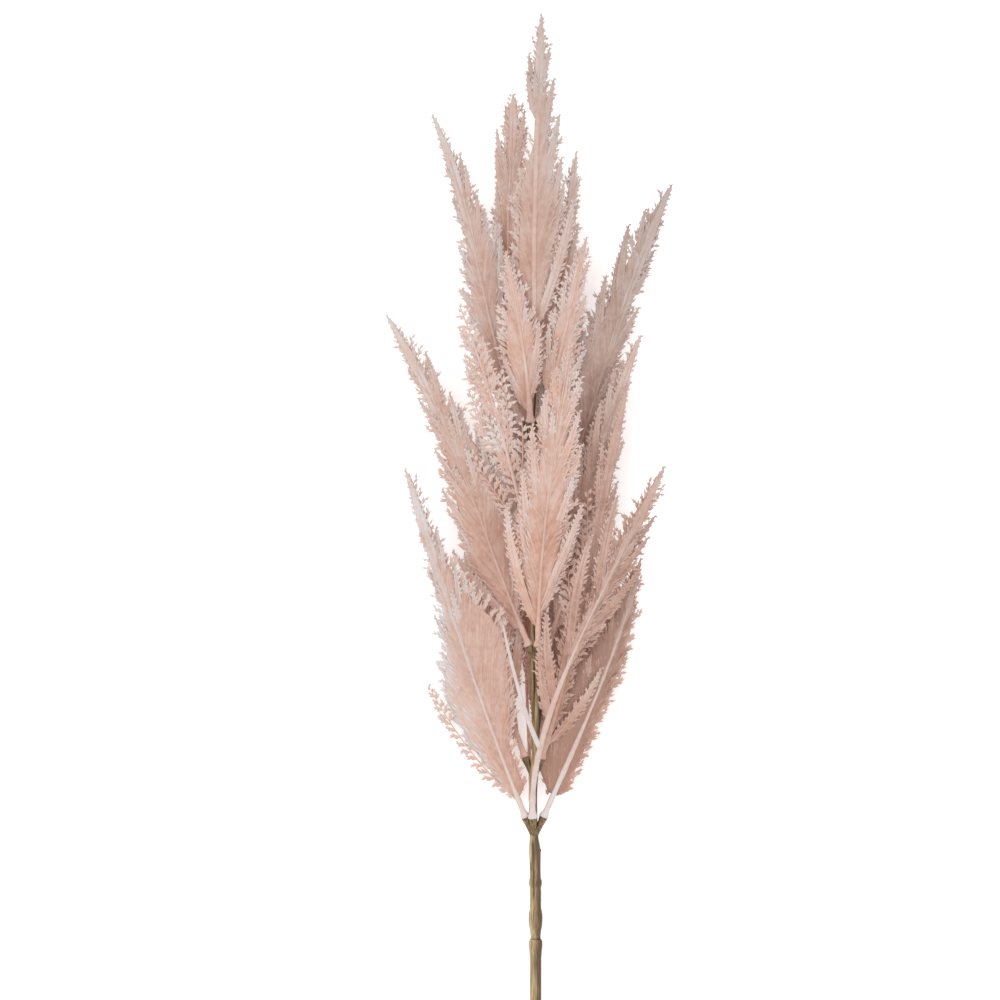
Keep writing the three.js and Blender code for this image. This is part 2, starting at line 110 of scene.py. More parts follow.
# Each spray: name, whorl, degrees round the stem from +X towards +Z, tip, bend of the rib in x and z, the
# way its flat side faces, angle of the side feathers, their reach on the left and right as parts of the
# rib, and the side that the lowest one is on
Plan = namedtuple("Plan", "name whorl around tip bend face angle reach lead")
SPRAYS = [Plan(*row) for row in (
    ("spray_1_left", 0, 155, (-78, 487, 46), (-2, 4), 112, 21, (0.32, 0.46), 1),
    ("spray_1_front", 0, 98, (77, 488, 66), (-7, 6), 80, 20, (0.5, 0.36), 1),
    ("spray_1_right", 0, 12, (64, 433, 28), (9, -2), 74, 20, (0.4, 0.27), -1),
    ("spray_1_back", 0, 262, (-9, 480, 0), (0, -14), 268, 22, (0.44, 0.44), 1),
    ("spray_2_left", 1, 205, (-37, 481, 24), (-4, -4), 110, 20, (0.42, 0.42), 1),
    ("spray_2_right", 1, 38, (55, 534, 45), (-1, 1), 80, 19, (0.28, 0.25), -1),
    ("spray_2_back", 1, 305, (38, 486, 17), (8, 2), 60, 21, (0.4, 0.42), 1),
    ("spray_3_left", 2, 168, (-90, 579, 42), (13, -2), 96, 20, (0.28, 0.42), 1),
    ("spray_3_front", 2, 92, (21, 560, 70), (-4, 11), 90, 19, (0.42, 0.42), 1),
    ("spray_3_right", 2, 25, (64, 567, 40), (-8, -1), 76, 18, (0.36, 0.24), -1),
    ("spray_4_left", 3, 125, (-46, 585, 54), (5, 4), 104, 20, (0.42, 0.36), 1),
    ("spray_4_right", 3, 2, (83, 658, 38), (-8, -4), 80, 20, (0.43, 0.24), 1),
    ("spray_4_back", 3, 268, (4, 642, 0), (0, -12), 270, 21, (0.42, 0.42), -1),
    ("spray_5_left", 4, 172, (-62, 699, 42), (10, -2), 100, 20, (0.27, 0.44), 1),
    ("spray_5_front", 4, 95, (-18, 616, 54), (2, 5), 92, 18, (0.4, 0.4), 1),
    ("spray_5_right", 4, 32, (31, 625, 48), (0, 3), 80, 20, (0.4, 0.4), -1),
    ("spray_6_top", 5, 95, (4, 760, 42), (-1, 6), 90, 17, (0.38, 0.38), -1),
    ("spray_6_left", 5, 192, (-13, 713, 26), (-2, -3), 110, 18, (0.36, 0.36), 1),
    ("spray_6_right", 5, 350, (25, 678, 32), (2, -2), 60, 18, (0.32, 0.32), -1),
)]

# Curve of a main rib: the part that it keeps to its socket's axis, and where its bend is
RIB_STRAIGHT = 0.3
RIB_BEND_AT = 0.65
RIB_POINTS = 401

# Main rib: stations of its peg (three), its shoulder (two) and its start, and the pitch of those that follow;
# half width and half thickness of the shoulder, at distances from the socket and at the tip; and its knobs
RIB_START = [-PEG_LENGTH, -0.6, -0.02, 0.0, 1.2, 4.0]
RIB_FROM, RIB_PITCH = 8, 2.6
SHOULDER = (3.0, 2.4)
SHOULDER_ENDS = 0.96
RIB_PLACES = (0, 13, 26, 110)
RIB_WIDE = (2.0, 1.7, 1.15, 0.8)
RIB_HIGH = (1.6, 1.4, 1.2, 1.0)
RIB_TIP = (0.35, 0.3)
RIB_SIDES = 10
RIB_PALE = {"least": 0.75, "over": 200, "peg": 0.8, "tip": 0.7}
KNOBS = {"height": 0.12, "pitch": 1.9, "sway": 2, "sway_pitch": 7, "fade": 90}

# Main ribs that stay stout: up to which part of them, over which part they then thin, their half width, and
# their height as a part of that
STOUT_HIGH = 0.8
STOUT = {
    "spray_6_top": {"to": 0.68, "fade": 0.05, "half": 1.7},
    "spray_1_front": {"to": 0.3, "fade": 0.35, "half": 1.75},
    "spray_1_right": {"to": 0.25, "fade": 0.35, "half": 1.75},
}

# The bare rod that forks off a main rib: where it leaves, its length, angle and lift, its half width and
# height at both ends, the power that they fall by, and its paleness at both ends
FORKS = {
    "spray_1_front": {
        "from": 46, "length": 76, "angle": 36, "lift": 10, "foot": (1.6, 1.3), "end": (0.7, 0.6),
        "taper": 1.2, "pale": (1.3, 1.1), "rings": 24,
    },
}

# The part of the rib that has no feathers, on its left and right
BARE = {
    "spray_1_front": (0.42, 0.42), "spray_1_back": (0.42, 0.42), "spray_1_right": (0, 0.42),
    "spray_6_top": (0.66, 0),
}
BARE_FOOT = 12

# Places of the side feathers along the rib: their spacing, least and most number, the first and last place,
# and how far on they stand, at random, on the other side and close to the rib
FEATHER_SPACING = 25
FEATHER_COUNT = (5, 8)
FIRST_FEATHER = 0.03
LAST_FEATHER = 0.73
LAST_COUNTS = 0.7
SHIFT = {"random": 0.3, "other": 0.5, "close": 0.25}

# Kinds of side feather at each place, by the number that seeds them: the one that the solid has, one on the
# other side, and a small one close along the rib, which only some places have
KINDS = {
    0: {"length": 1.0, "lift": 1, "raised": 0.0, "other": 0, "close": 0},
    1: {"length": 0.9, "lift": -1, "raised": 0.0, "other": 1, "close": 0},
    3: {"length": 0.75, "lift": 0, "raised": 2.2, "other": 1, "close": 1},
}
CLOSE_SHARE = 0.3
CLOSE_ANGLE = 0.5
SPRAY_SEEDS = 80
SPIKE_SEED = 79

# Length of the side feathers: it falls by a power along the rib to a least one, is scaled by the spray's
# `tip` from a part of the rib on, and varies. Those near the foot spread more, by whorl
LENGTH_POWER = 0.85
LEAST_LENGTH = 0.12
TIP_LENGTHS = {"from": 0.25, "over": 0.3}
LENGTH_VARIES = (0.92, 1.08)
ANGLE_VARIES = (0.9, 1.15)
FEATHER_LIFT = (0.8, 2.2)
LOW_SPREAD = (14, 9, 9, 9, 9, 9)
LOW_PART = 0.3
CURL = 0.32
ARCH_RADIUS = 48

# Outline of a feather and of the spike at a spray's tip: half widths, the room beside the main rib, the parts
# of a feather where its vane and its twigs start, and the spike's lift
WIDEST_HALF = 4.4
CLOSE_HALF = 2.6
POINT_HALF = 1.0
POINT_SLOPE = 0.1
FOOT_HALF = 1.0
FOOT_SLOPE = 0.3
ROOM = {"least": 1.6, "share": 1.1}
STARTS = {"vane": 0.02, "twigs": 0.04}
SPIKE_LIFT = 0.5

# Thin rib of a feather: half width and height, how thick it is at its foot and tip and the power that it
# thins by, the part of the feather where it ends, its rings and their sides, and its paleness
THIN_RIB = {
    "half": (0.7, 0.6), "taper": (1.0, 0.35), "power": 0.8, "to": 0.97, "rings": 12, "sides": 6, "pale": 0.5,
}

# Twigs of feathers with a vane and of loose ones without: spacing, angle, the hidden part of a twig, half
# width and height, paleness at the feather's foot and how it grows; share and size of the lobes on them
TWIGS = {
    "vane": {
        "pitch": 3.7, "angle": 33, "root": 0.5, "half": (1.25, 0.38), "pale": (0.25, 0.4),
        "lobes": 0.6, "lobe_length": 2.8, "lobe_half": (0.7, 0.28),
    },
    "loose": {
        "pitch": 5.5, "angle": 46, "root": 0.0, "half": (1.6, 0.45), "pale": (0.38, 0.25),
        "lobes": 1.0, "lobe_length": 4.2, "lobe_half": (1.1, 0.33),
    },
}
LOOSE = {"half": 7.6, "blunt": 2.2, "longer": 1.2}
TWIG = {"random": 0.3, "angles": (0.85, 1.2), "sizes": (0.85, 1.15), "rises": (-0.04, 0.07), "full": 6}
TWIGS_ON_WEB = 0.22
LOBE = {
    "pitch": 2.0, "random": 0.4, "from": 0.2, "to": 0.75, "angle": 26, "sizes": (0.8, 1.2),
    "tilts": (-0.05, 0.06), "paler": 0.1,
}
BELLY = 0.35

# Short twigs, their lobes and barbs near the rib are smaller: a least part and its growth a millimetre
GROWTH = {"twig": (0.45, 0.1), "lobe_length": (0.4, 0.1), "lobe": (0.6, 0.05), "barb": (0.35, 1 / 12)}

# How much darker the foot of a twig, lobe or barb is, and how much paler its tip
FOOT_DARKER = 0.05
TIP_PALER = 0.2

# Least heights over the floor, and the height under the box's top over which points are pressed together
RIB_CLEAR = 1.2
TWIG_CLEAR = 0.5
LOBE_CLEAR = 0.35
FLOOR_GAP = 0.05
TOP_SOFT = 5.0
BOX_MARGIN = 0.1

# Vane of a feather, the closed inner part that its twigs lie on.
# share, pointed, blunt: its share of the feather's width, the length of its pointed end and its bluntness
# half, depth: its half thickness, and its depth under the feather's line
# clear, apart: its least height, and how that differs between its two faces
# pale: its paleness, and how that grows along and across
# to, pitch, least_rings, sides: the part of the feather where it ends, its rings and their sides
VANE = {
    "share": 0.72, "pointed": 6.0, "blunt": 0.1, "half": 0.4, "depth": 0.2, "clear": 0.5, "apart": 0.35,
    "pale": (0.15, 0.4, 0.15), "foot_pale": 0.1, "tip_pale": 0.6,
    "to": 0.995, "pitch": 4, "least_rings": 10, "sides": 8,
}

# Distance between the streaks on a vane
STREAK_PITCH = 2.2

# Web of a spray, the smooth sheet between its feathers.
# share, narrows: the part of their reach that it has, and how much of that it loses towards the tip
# rise, beside, fall: its height at the rib and beside it, how near to the rib that is, its fall at the edge
# thick, thinner, thins_below: its thickness, how much of it the edge loses, the reach below which it thins
# clear, tip, hides: its least height, the length free at the rib's tip, the part of it that hides twigs
# pitch, sides, shifts: spacing of its rings, points on a side, and the shifts that even out its outline
# slope, end: how gently its least reach ends, and its reach at the rib's tip
# pale: its paleness at the rib's foot and how that grows to the tip
WEB = {
    "share": 0.86, "narrows": 0.6, "rise": (0.1, 0.8), "beside": 2.5, "fall": 2.2,
    "thick": 1.0, "thinner": 0.7, "thins_below": 4, "clear": 1.4, "tip": 4, "hides": 0.95,
    "pitch": 3.6, "sides": 20, "shifts": (-12, -4, 4, 12), "slope": 4, "end": 0.6,
    "pale": (0.15, 0.25),
}
PLEAT = {"height": 0.3, "pitch": 23, "phase": 6.3}

# Numbers that set the barbs, pleats and streaks of a web's left side, and of each spray, apart
ROW_SEEDS = 40
LEFT_SIDE = 11.0
STREAK_SHIFT = 20
STREAK_SEED = 0.013

# Barbs on a web and at its edge, in rows: the part of its reach where a row stands and how far it scatters
# inwards, the share of the places that have a barb, their spacing, and the barbs' length, angle, rise, half
# width and height, how much paler they are, and whether they have lobes
FRINGE = (
    {
        "part": 0.4, "scatter": 0.35, "share": 0.45, "pitch": 1.7, "length": 7.0, "angle": 28, "rise": 0.09,
        "half": (0.75, 0.35), "paler": 0.12, "lobed": False,
    },
    {
        "part": 0.85, "scatter": 0.45, "share": 0.55, "pitch": 1.5, "length": 6.5, "angle": 32, "rise": 0.06,
        "half": (0.8, 0.35), "paler": 0.12, "lobed": False,
    },
    {
        "part": 0.97, "scatter": 0.08, "share": 0.9, "pitch": 2.7, "length": 6.2, "angle": 36, "rise": -0.1,
        "half": (1.1, 0.35), "paler": 0.0, "lobed": False,
    },
    {
        "part": 0.95, "scatter": 0.08, "share": 0.9, "pitch": 5.0, "length": 9.5, "angle": 38, "rise": -0.1,
        "half": (1.5, 0.4), "paler": 0.0, "lobed": True,
    },
)
BARB = {
    "tip": 8, "sunk": 0.15, "nearest": 1.2,
    "angles": (0.75, 1.3), "sizes": (0.5, 1.5), "rises": (-0.04, 0.04),
}

# What sets a spray apart.
# tone, shade: how much paler it is, or darker below 0, partly painted shade on the right-hand and back
# sprays, and how much painted shade makes it greyer and darker
# web, edge: how wide its web is on the left and right, and how much paler its edges are
# least: how far its web reaches there at least, and up to which part of the rib
# tip, rib, blunt: how long the feathers near its tip, how pale its main rib and how blunt its tip is
# open: it has no web and no vane
# sparse, smooth, none: feathers, as place along the rib and kind, that are loose ones with no vane, that
# only shape the web, and that are left out
STYLE = {
    "spray_1_left": {
        "tone": 0.11, "shade": 0.8, "tip": 0.6, "web": (1.15, 1.3), "least": (9, 6, 0.5), "edge": (0.5, 0.0),
        "rib": 0.75, "sparse": ((0, 0),), "smooth": ((1, 0), (2, 1)), "none": ((0, 1), (0, 3)),
    },
    "spray_1_front": {"tone": -0.35, "shade": 1.1, "web": (0.5, 0.9), "rib": 1.25, "none": ((5, 1), (7, 1))},
    "spray_1_right": {
        "tone": -0.4, "shade": 1.0, "web": (1.9, 1), "least": (24, 7, 0.9), "edge": (0.1, 0.4), "rib": 1.4,
    },
    "spray_2_left": {"none": ((0, 1), (0, 3))},
    "spray_2_right": {
        "tone": -0.2, "shade": 1.0, "web": (0.4, 0.25),
        "sparse": ((2, 0), (3, 0), (4, 0), (4, 1), (5, 0), (5, 1)),
        "none": ((1, 1), (2, 1), (3, 1), (2, 3), (3, 3), (4, 3), (5, 3)),
    },
    "spray_2_back": {
        "tone": -0.3, "shade": 0.8, "web": (0.5, 0.3),
        "sparse": ((3, 0), (4, 0), (4, 1), (5, 0), (5, 1), (6, 1)),
        "none": ((0, 3), (1, 1), (1, 3), (2, 1), (3, 1), (4, 3), (5, 3)),
    },
    "spray_3_left": {"tone": 0.04, "shade": 0.7, "tip": 0.8},
    "spray_3_front": {"tone": 0.02, "shade": 0.2},
    "spray_3_right": {
        "tone": -0.1, "shade": 1.0, "web": (0.9, 0.35), "sparse": ((2, 0), (3, 1), (4, 0), (5, 1)),
        "none": ((0, 3),),
    },
    "spray_4_left": {"shade": 0.3, "web": (0, 0), "rib": 0.85, "blunt": 2.2, "open": True},
    "spray_4_right": {"tone": -0.1, "shade": 2.0},
    "spray_4_back": {"tone": 0.2},
    "spray_5_left": {"tone": 0.06, "shade": 1.0, "tip": 0.75},
    "spray_5_front": {"tone": 0.1, "shade": 0.2, "web": (1.4, 1.4)},
    "spray_5_right": {"tone": 0.1, "shade": 0.3},
    "spray_6_top": {"tone": 0.02, "shade": 1.4, "least": (9, 6, 0.64), "rib": 0.6},
    "spray_6_left": {"tone": 0.04, "shade": 0.9, "tip": 1.4, "blunt": 2.5},
    "spray_6_right": {"tone": 0.05, "shade": 0.8},
}
PLAIN_STYLE = {
    "tone": 0.0, "shade": 0.0, "web": (1, 1), "least": (0, 0, 0), "edge": (0.15, 0.15), "tip": 1.0,
    "rib": 0.55, "blunt": 1.0, "open": False, "sparse": (), "smooth": (), "none": (),
}

# The part of its colour and of its light that a painted shade of 1 takes from a spray, and the part of its
# painted shade that a spray has at its foot
SHADE = {"colour": 0.17, "light": 0.14, "foot": 0.4}

# Colours, as position from dark to pale and red, green and blue
PINKS = (
    (0.0, (0.43, 0.225, 0.16)), (0.2, (0.57, 0.31, 0.225)), (0.54, (0.7, 0.46, 0.375)),
    (1.0, (0.74, 0.66, 0.64)),
)
TANS = ((0.2, (0.11, 0.065, 0.03)), (0.5, (0.27, 0.18, 0.08)), (0.85, (0.55, 0.42, 0.25)))
STEEL = (0.55, 0.55, 0.54)

# Camera: the point it looks down on, its distance in metres, and the width it sees there
VIEW = {"over": (-21.0, 467.0, 38.0), "distance": 2.2, "width": 0.6, "sensor": 36, "clip": 20}

# Floor and lights, in metres and watts
FLOOR = {"half": 4.0, "grey": 0.88, "rough": 0.9, "glow": 0.38}
LIGHTS = {
    "key": {"place": (-0.8, 0.3, 2.6), "size": 1.8, "power": 26},
    "fill": {"place": (1.0, -0.6, 2.4), "size": 1.8, "power": 10},
}
SKY = 0.75


def chance(item, number, use):
    """A fixed number from 0 to 1: the fraction of a large sine of item, number and use."""
    s = np.sin(item * 127.1 + number * 311.7 + use * 74.7) * 43758.5453
    return s - np.floor(s)


def within(low, high, share):
    return low + (high - low) * share


def unit(v):
    return v / np.maximum(np.linalg.norm(v, axis=-1, keepdims=True), 1e-9)


def grown(part, size):
    """The least part and its growth times the size, up to 1."""
    return np.minimum(1, GROWTH[part][0] + GROWTH[part][1] * size)


def new_object(name, data):
    made = bpy.data.objects.new(name, data)
    bpy.context.scene.collection.objects.link(made)
    return made


def cut_end_centre():
    """The centre of the stem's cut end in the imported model, in metres."""
    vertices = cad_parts["stem_lower"].data.vertices
    points = np.empty(len(vertices) * 3, np.float32)
    vertices.foreach_get("co", points)
    points = points.reshape(-1, 3)
    end = points[points[:, 1] < points[:, 1].min() + 1e-5]
    return (end.min(0) + end.max(0)) / 2


ORIGIN = cut_end_centre() - np.array([STEM_LINE[0, 0], 0, CUT_END_HEIGHT]) * 0.001
BOX = (
    (np.array(cad_low) - ORIGIN) * 1000 + BOX_MARGIN,
    (np.array(cad_high) - ORIGIN) * 1000 - BOX_MARGIN,
)


def in_frame(points):
    return points * 0.001 + ORIGIN


def smooth_line(knots, steps):
    """Centripetal Catmull-Rom curve: a cubic between each two knots, whose slopes come from the knots on
    either side, weighed by the square root of their distances."""
    ends = np.vstack([2 * knots[0] - knots[1], knots, 2 * knots[-1] - knots[-2]])
    a, b, c, d = ends[:-3, None], ends[1:-2, None], ends[2:-1, None], ends[3:, None]
    gap = [np.sqrt(np.linalg.norm(q - p, axis=-1, keepdims=True)) for p, q in ((a, b), (b, c), (c, d))]
    start = ((b - a) / gap[0] - (c - a) / (gap[0] + gap[1]) + (c - b) / gap[1]) * gap[1]
    stop = ((c - b) / gap[1] - (d - b) / (gap[1] + gap[2]) + (d - c) / gap[2]) * gap[1]
    t = np.linspace(0, 1, steps, endpoint=False)[None, :, None]
    curve = b + start * t + (3 * (c - b) - 2 * start - stop) * t**2 + (2 * (b - c) + start + stop) * t**3
    return np.vstack([curve.reshape(-1, knots.shape[1]), knots[-1:]])


STEM_HEIGHTS = CUT_END_HEIGHT + STEM_RISE * STEM_LINE[:, 1]
STEM = smooth_line(np.column_stack([STEM_LINE, STEM_HEIGHTS]), STEM_STEPS)


def stem_point(y):
    """Points of the stem's centre line at the heights y along it."""
    y = np.asarray(y, float)
    return np.stack([np.interp(y, STEM[:, 1], STEM[:, i]) for i in range(3)], axis=-1)


def socket_axis(around):
    """The way that a socket points: STUB_ANGLE off the stem, `around` degrees from +X towards +Z."""
    turn, lean = math.radians(around), math.radians(STUB_ANGLE)
    return np.array([math.sin(lean) * math.cos(turn), math.cos(lean), math.sin(lean) * math.sin(turn)])


def under_top(z):
    """Presses heights near the box's top together under it: the distance left to it falls off as e to the
    minus height."""
    start = BOX[1][2] - RIB_CLEAR - TOP_SOFT
    pressed = start + TOP_SOFT * (1 - np.exp(-np.maximum(z - start, 0) / TOP_SOFT))
    return np.where(z > start, pressed, z)


class Rib:
    """The curve of a spray's main rib, a cubic Bezier from its socket to its tip, with the frame along it."""

    def __init__(self, plan):
        direction = socket_axis(plan.around)
        start = stem_point(WHORLS[plan.whorl]) + direction * (STUB_LENGTH + GAP)
        end = np.array(plan.tip, float)
        near = start + direction * RIB_STRAIGHT * np.linalg.norm(end - start)
        far = start + (end - start) * RIB_BEND_AT + np.array([plan.bend[0], 0, plan.bend[1]])
        t = np.linspace(0, 1, RIB_POINTS)[:, None]
        self.points = ((1 - t) ** 3 * start + 3 * (1 - t) ** 2 * t * near
                       + 3 * (1 - t) * t**2 * far + t**3 * end)
        slope = (1 - t) ** 2 * (near - start) + 2 * (1 - t) * t * (far - near) + t**2 * (end - far)
        self.slopes = unit(slope)
        steps = np.linalg.norm(np.diff(self.points, axis=0), axis=1)
        self.stations = np.concatenate([[0], np.cumsum(steps)])
        self.length = self.stations[-1]
        face = math.radians(plan.face)
        self.facing = np.array([math.cos(face), 0, math.sin(face)])
        self.faces_up = self.facing[2] > 0

    def frame_at(self, along):
        """Point, side and up of the rib at the distances along it, carried on straight past both ends."""
        inside = np.clip(along, 0, self.length)
        at, tangent = (
            np.stack([np.interp(inside, self.stations, values[:, i]) for i in range(3)], axis=-1)
            for values in (self.points, self.slopes)
        )
        tangent = unit(tangent)
        at = at + tangent * (along - inside)[..., None]
        side = unit(np.cross(self.facing, tangent))
        return at, side, np.cross(tangent, side)

    def bend(self, flat, clear):
        """Bends flat points (along, across, lift): across goes along `side`, lift along `up`, less the
        arch across²/2R; nothing goes lower than `clear` above the floor, or out of the box's top."""
        at, side, up = self.frame_at(flat[..., 0])
        across, lift = flat[..., 1:2], flat[..., 2:3]
        points = at + side * across + up * (lift - across**2 / (2 * ARCH_RADIUS))
        points[..., 2] = under_top(np.maximum(points[..., 2], clear))
        return points


class Skin:
    """Collects closed pieces of surface with a paleness and a streak for each point, and makes them one mesh.

    `tone` makes all of it paler, or darker where it is below 0, which is partly painted shade on the
    right-hand and back sprays. `shade` is painted shade: it makes it greyer and darker, by a part of it at
    the height y of its foot and by all of it at its tip."""

    def __init__(self, tone=0.0, shade=0.0, foot=0.0, tip=1.0):
        self.tone, self.shade, self.foot, self.tip = tone, shade, foot, tip
        self.points, self.faces, self.pale, self.streaks, self.smooth, self.count = [], [], [], [], [], 0

    def add(self, points, faces, pale, streaks=0.0, smooth=True):
        points, faces = points.reshape(-1, 3), faces.reshape(-1, 3)
        streaks = np.reshape(streaks, (-1, 3)) if np.ndim(streaks) else streaks
        self.streaks.append(np.broadcast_to(streaks, points.shape))
        self.points.append(points)
        self.faces.append(faces + self.count)
        self.pale.append(np.broadcast_to(pale, points.shape[:1]).astype(np.float32) + self.tone)
        self.smooth.append(np.full(len(faces), smooth))
        self.count += len(points)

    def add_spindles(self, points, faces, pale, seed):
        """Adds the spindles that stay inside the solid model's box."""
        stays = np.all((points > BOX[0]) & (points < BOX[1]), axis=(1, 2))
        pales = np.stack([pale - FOOT_DARKER, pale, pale, pale, pale + TIP_PALER], -1)
        self.add(points[stays], faces[:stays.sum()], pales[stays].ravel(), own_tone(seed), False)

    def make(self, name, material):
        points, faces = np.vstack(self.points), np.vstack(self.faces).astype(np.int32)
        up = np.clip((points[:, 1] - self.foot) / (self.tip - self.foot), 0, 1)
        mesh = bpy.data.meshes.new(name)
        mesh.vertices.add(len(points))
        mesh.vertices.foreach_set("co", in_frame(points).astype(np.float32).ravel())
        mesh.loops.add(faces.size)
        mesh.loops.foreach_set("vertex_index", faces.ravel())
        mesh.polygons.add(len(faces))
        mesh.polygons.foreach_set("loop_start", np.arange(0, faces.size, 3, dtype=np.int32))
        mesh.polygons.foreach_set("use_smooth", np.concatenate(self.smooth))
        # The points' paleness, with painted shade in the plume's depths, and their painted shade, more
        # towards the tip
        numbers = {"pale_and_painted_light": np.concatenate(self.pale), "shade": self.shade * within(SHADE["foot"], 1, up)}
        for attribute, values in numbers.items():
            made = mesh.attributes.new(attribute, "FLOAT", "POINT")
            made.data.foreach_set("value", values.astype(np.float32))
        streaks = mesh.attributes.new("streaks", "FLOAT_VECTOR", "POINT")
        streaks.data.foreach_set("vector", np.vstack(self.streaks).astype(np.float32).ravel())
        mesh.materials.append(material)
        mesh.update(calc_edges=True)
        return new_object(name, mesh)


def own_tone(seed):
    """The streaks attribute of a plain part of a feather: no streak, and the feather's own tone."""
    return np.array([0.0, 0.0, chance(seed, 3, 9)])


def spindles(base, tip, wide, half_width, half_height):
    """Three-sided spindles: a point at the base, a triangle of points round the axis at the part BELLY of
    its length, and a point at the tip. Returns the points (n, 5, 3) and their faces (n, 6, 3)."""
    axis = unit(tip - base)
    wide = unit(wide - axis * np.sum(wide * axis, axis=-1, keepdims=True))
    high = np.cross(wide, axis)
    high *= np.where(high[:, 2:] < 0, -1, 1)
    wide = np.cross(axis, high)
    middle = base + (tip - base) * BELLY
    ring = [middle + wide * half_width * math.cos(turn) + high * half_height * math.sin(turn)
            for turn in (math.pi / 2, math.pi * 7 / 6, math.pi * 11 / 6)]
    points = np.stack([base, *ring, tip], axis=1)
    points[..., 2] += np.maximum(FLOOR_GAP - points[..., 2].min(1), 0)[:, None]
    pattern = np.array([(0, 1, 2), (0, 2, 3), (0, 3, 1), (4, 2, 1), (4, 3, 2), (4, 1, 3)])
    return points, pattern[None] + 5 * np.arange(len(base))[:, None, None]


def quads(a, b, c, d):
    return np.concatenate([np.stack([a, b, c], -1), np.stack([a, c, d], -1)]).reshape(-1, 3)


def capped(grid):
    """A closed surface through rings of points (rings, sides, 3): each ring is joined to the next, and the
    first and last one to a point in their middle."""
    count, sides = grid.shape[:2]
    points = np.vstack([grid[0].mean(0), grid.reshape(-1, 3), grid[-1].mean(0)])
    i = np.arange(sides)
    j = (i + 1) % sides
    r = (np.arange(count - 1) * sides + 1)[:, None]
    walls = quads(r + i, r + j, r + sides + j, r + sides + i)
    last = len(points) - 1
    first_cap = np.stack([np.zeros_like(i), 1 + j, 1 + i], -1)
    last_cap = np.stack([np.full_like(i, last), last - sides + i, last - sides + j], -1)
    return points, np.vstack([walls, first_cap, last_cap])


def with_caps(values):
    """The values of a capped surface's ring points, with the first and last one again for its two caps."""
    return np.concatenate([values[:1], values, values[-1:]])


def looped(grid):
    """A closed surface through rings of points whose last ring is joined to the first."""
    count, sides = grid.shape[:2]
    i = np.arange(sides)
    j = (i + 1) % sides
    r = (np.arange(count) * sides)[:, None]
    s = (r + sides) % (count * sides)
    return grid.reshape(-1, 3), quads(r + i, s + i, s + j, r + j)


def tube(at, side, up, half_width, half_height, sides):
    """A closed tube: an ellipse of `sides` points carried along the stations `at`."""
    turn = 2 * np.pi * np.arange(sides) / sides
    ring = (at[:, None] + side[:, None] * (half_width[:, None] * np.cos(turn))[..., None]
            + up[:, None] * (half_height[:, None] * np.sin(turn))[..., None])
    return capped(ring)


def tube_along(rib, flat, half_width, half_height, sides):
    """A closed tube along a flat line that is bent round the rib, with its ellipses square to the line."""
    at = rib.bend(flat, RIB_CLEAR)
    ahead = unit(np.gradient(at, axis=0))
    _, side, _ = rib.frame_at(flat[:, 0])
    side = unit(side - ahead * np.sum(side * ahead, -1, keepdims=True))
    return tube(at, side, np.cross(ahead, side), half_width, half_height, sides)


def feather_line(feather, u):
    """Flat centre line of a feather at the parts u of its length: it leaves the rib at its angle and curls
    back towards it by the part CURL, and its lift grows as u²."""
    u = np.asarray(u, float)[..., None]
    run = feather["length"] * u
    ahead = math.cos(feather["angle"]) * run
    aside = feather["sign"] * math.sin(feather["angle"]) * run * (1 - CURL * u)
    return np.concatenate([feather["from"] + ahead, aside, feather["lift"] * u**2], axis=-1)


def half_width(feather, u, side):
    """Half width of a feather: a wedge from its foot, even in the middle and a wedge to its tip; the side
    next to the main rib has only the room up to it."""
    to_tip = POINT_HALF + POINT_SLOPE * feather["blunt"] * (1 - u) * feather["length"]
    from_foot = FOOT_HALF + FOOT_SLOPE * (u - feather["start"]) * feather["length"]
    full = np.minimum(np.minimum(to_tip, from_foot), feather["widest"])
    if not feather["angle"]:
        return full
    room = np.maximum(ROOM["least"], ROOM["share"] * np.abs(feather_line(feather, u)[:, 1]))
    return np.where(side * feather["sign"] < 0, np.minimum(full, room), full)


def seed_of(index, number):
    """The number that seeds what varies on a feather: those of one spray lie within SPRAY_SEEDS."""
    return index * SPRAY_SEEDS + number


def spike_of(rib, index, style, start):
    """The feather that runs straight along the main rib from the part `start` of it to the spray's tip."""
    return {
        "from": 0.0, "length": rib.length, "angle": 0.0, "sign": 1, "lift": SPIKE_LIFT,
        "seed": seed_of(index, SPIKE_SEED),
        "close": False, "smooth": False, "blunt": style["blunt"], "start": start,
        "look": "loose" if style["open"] else "vane",
        "widest": LOOSE["half"] if style["open"] else WIDEST_HALF,
    }


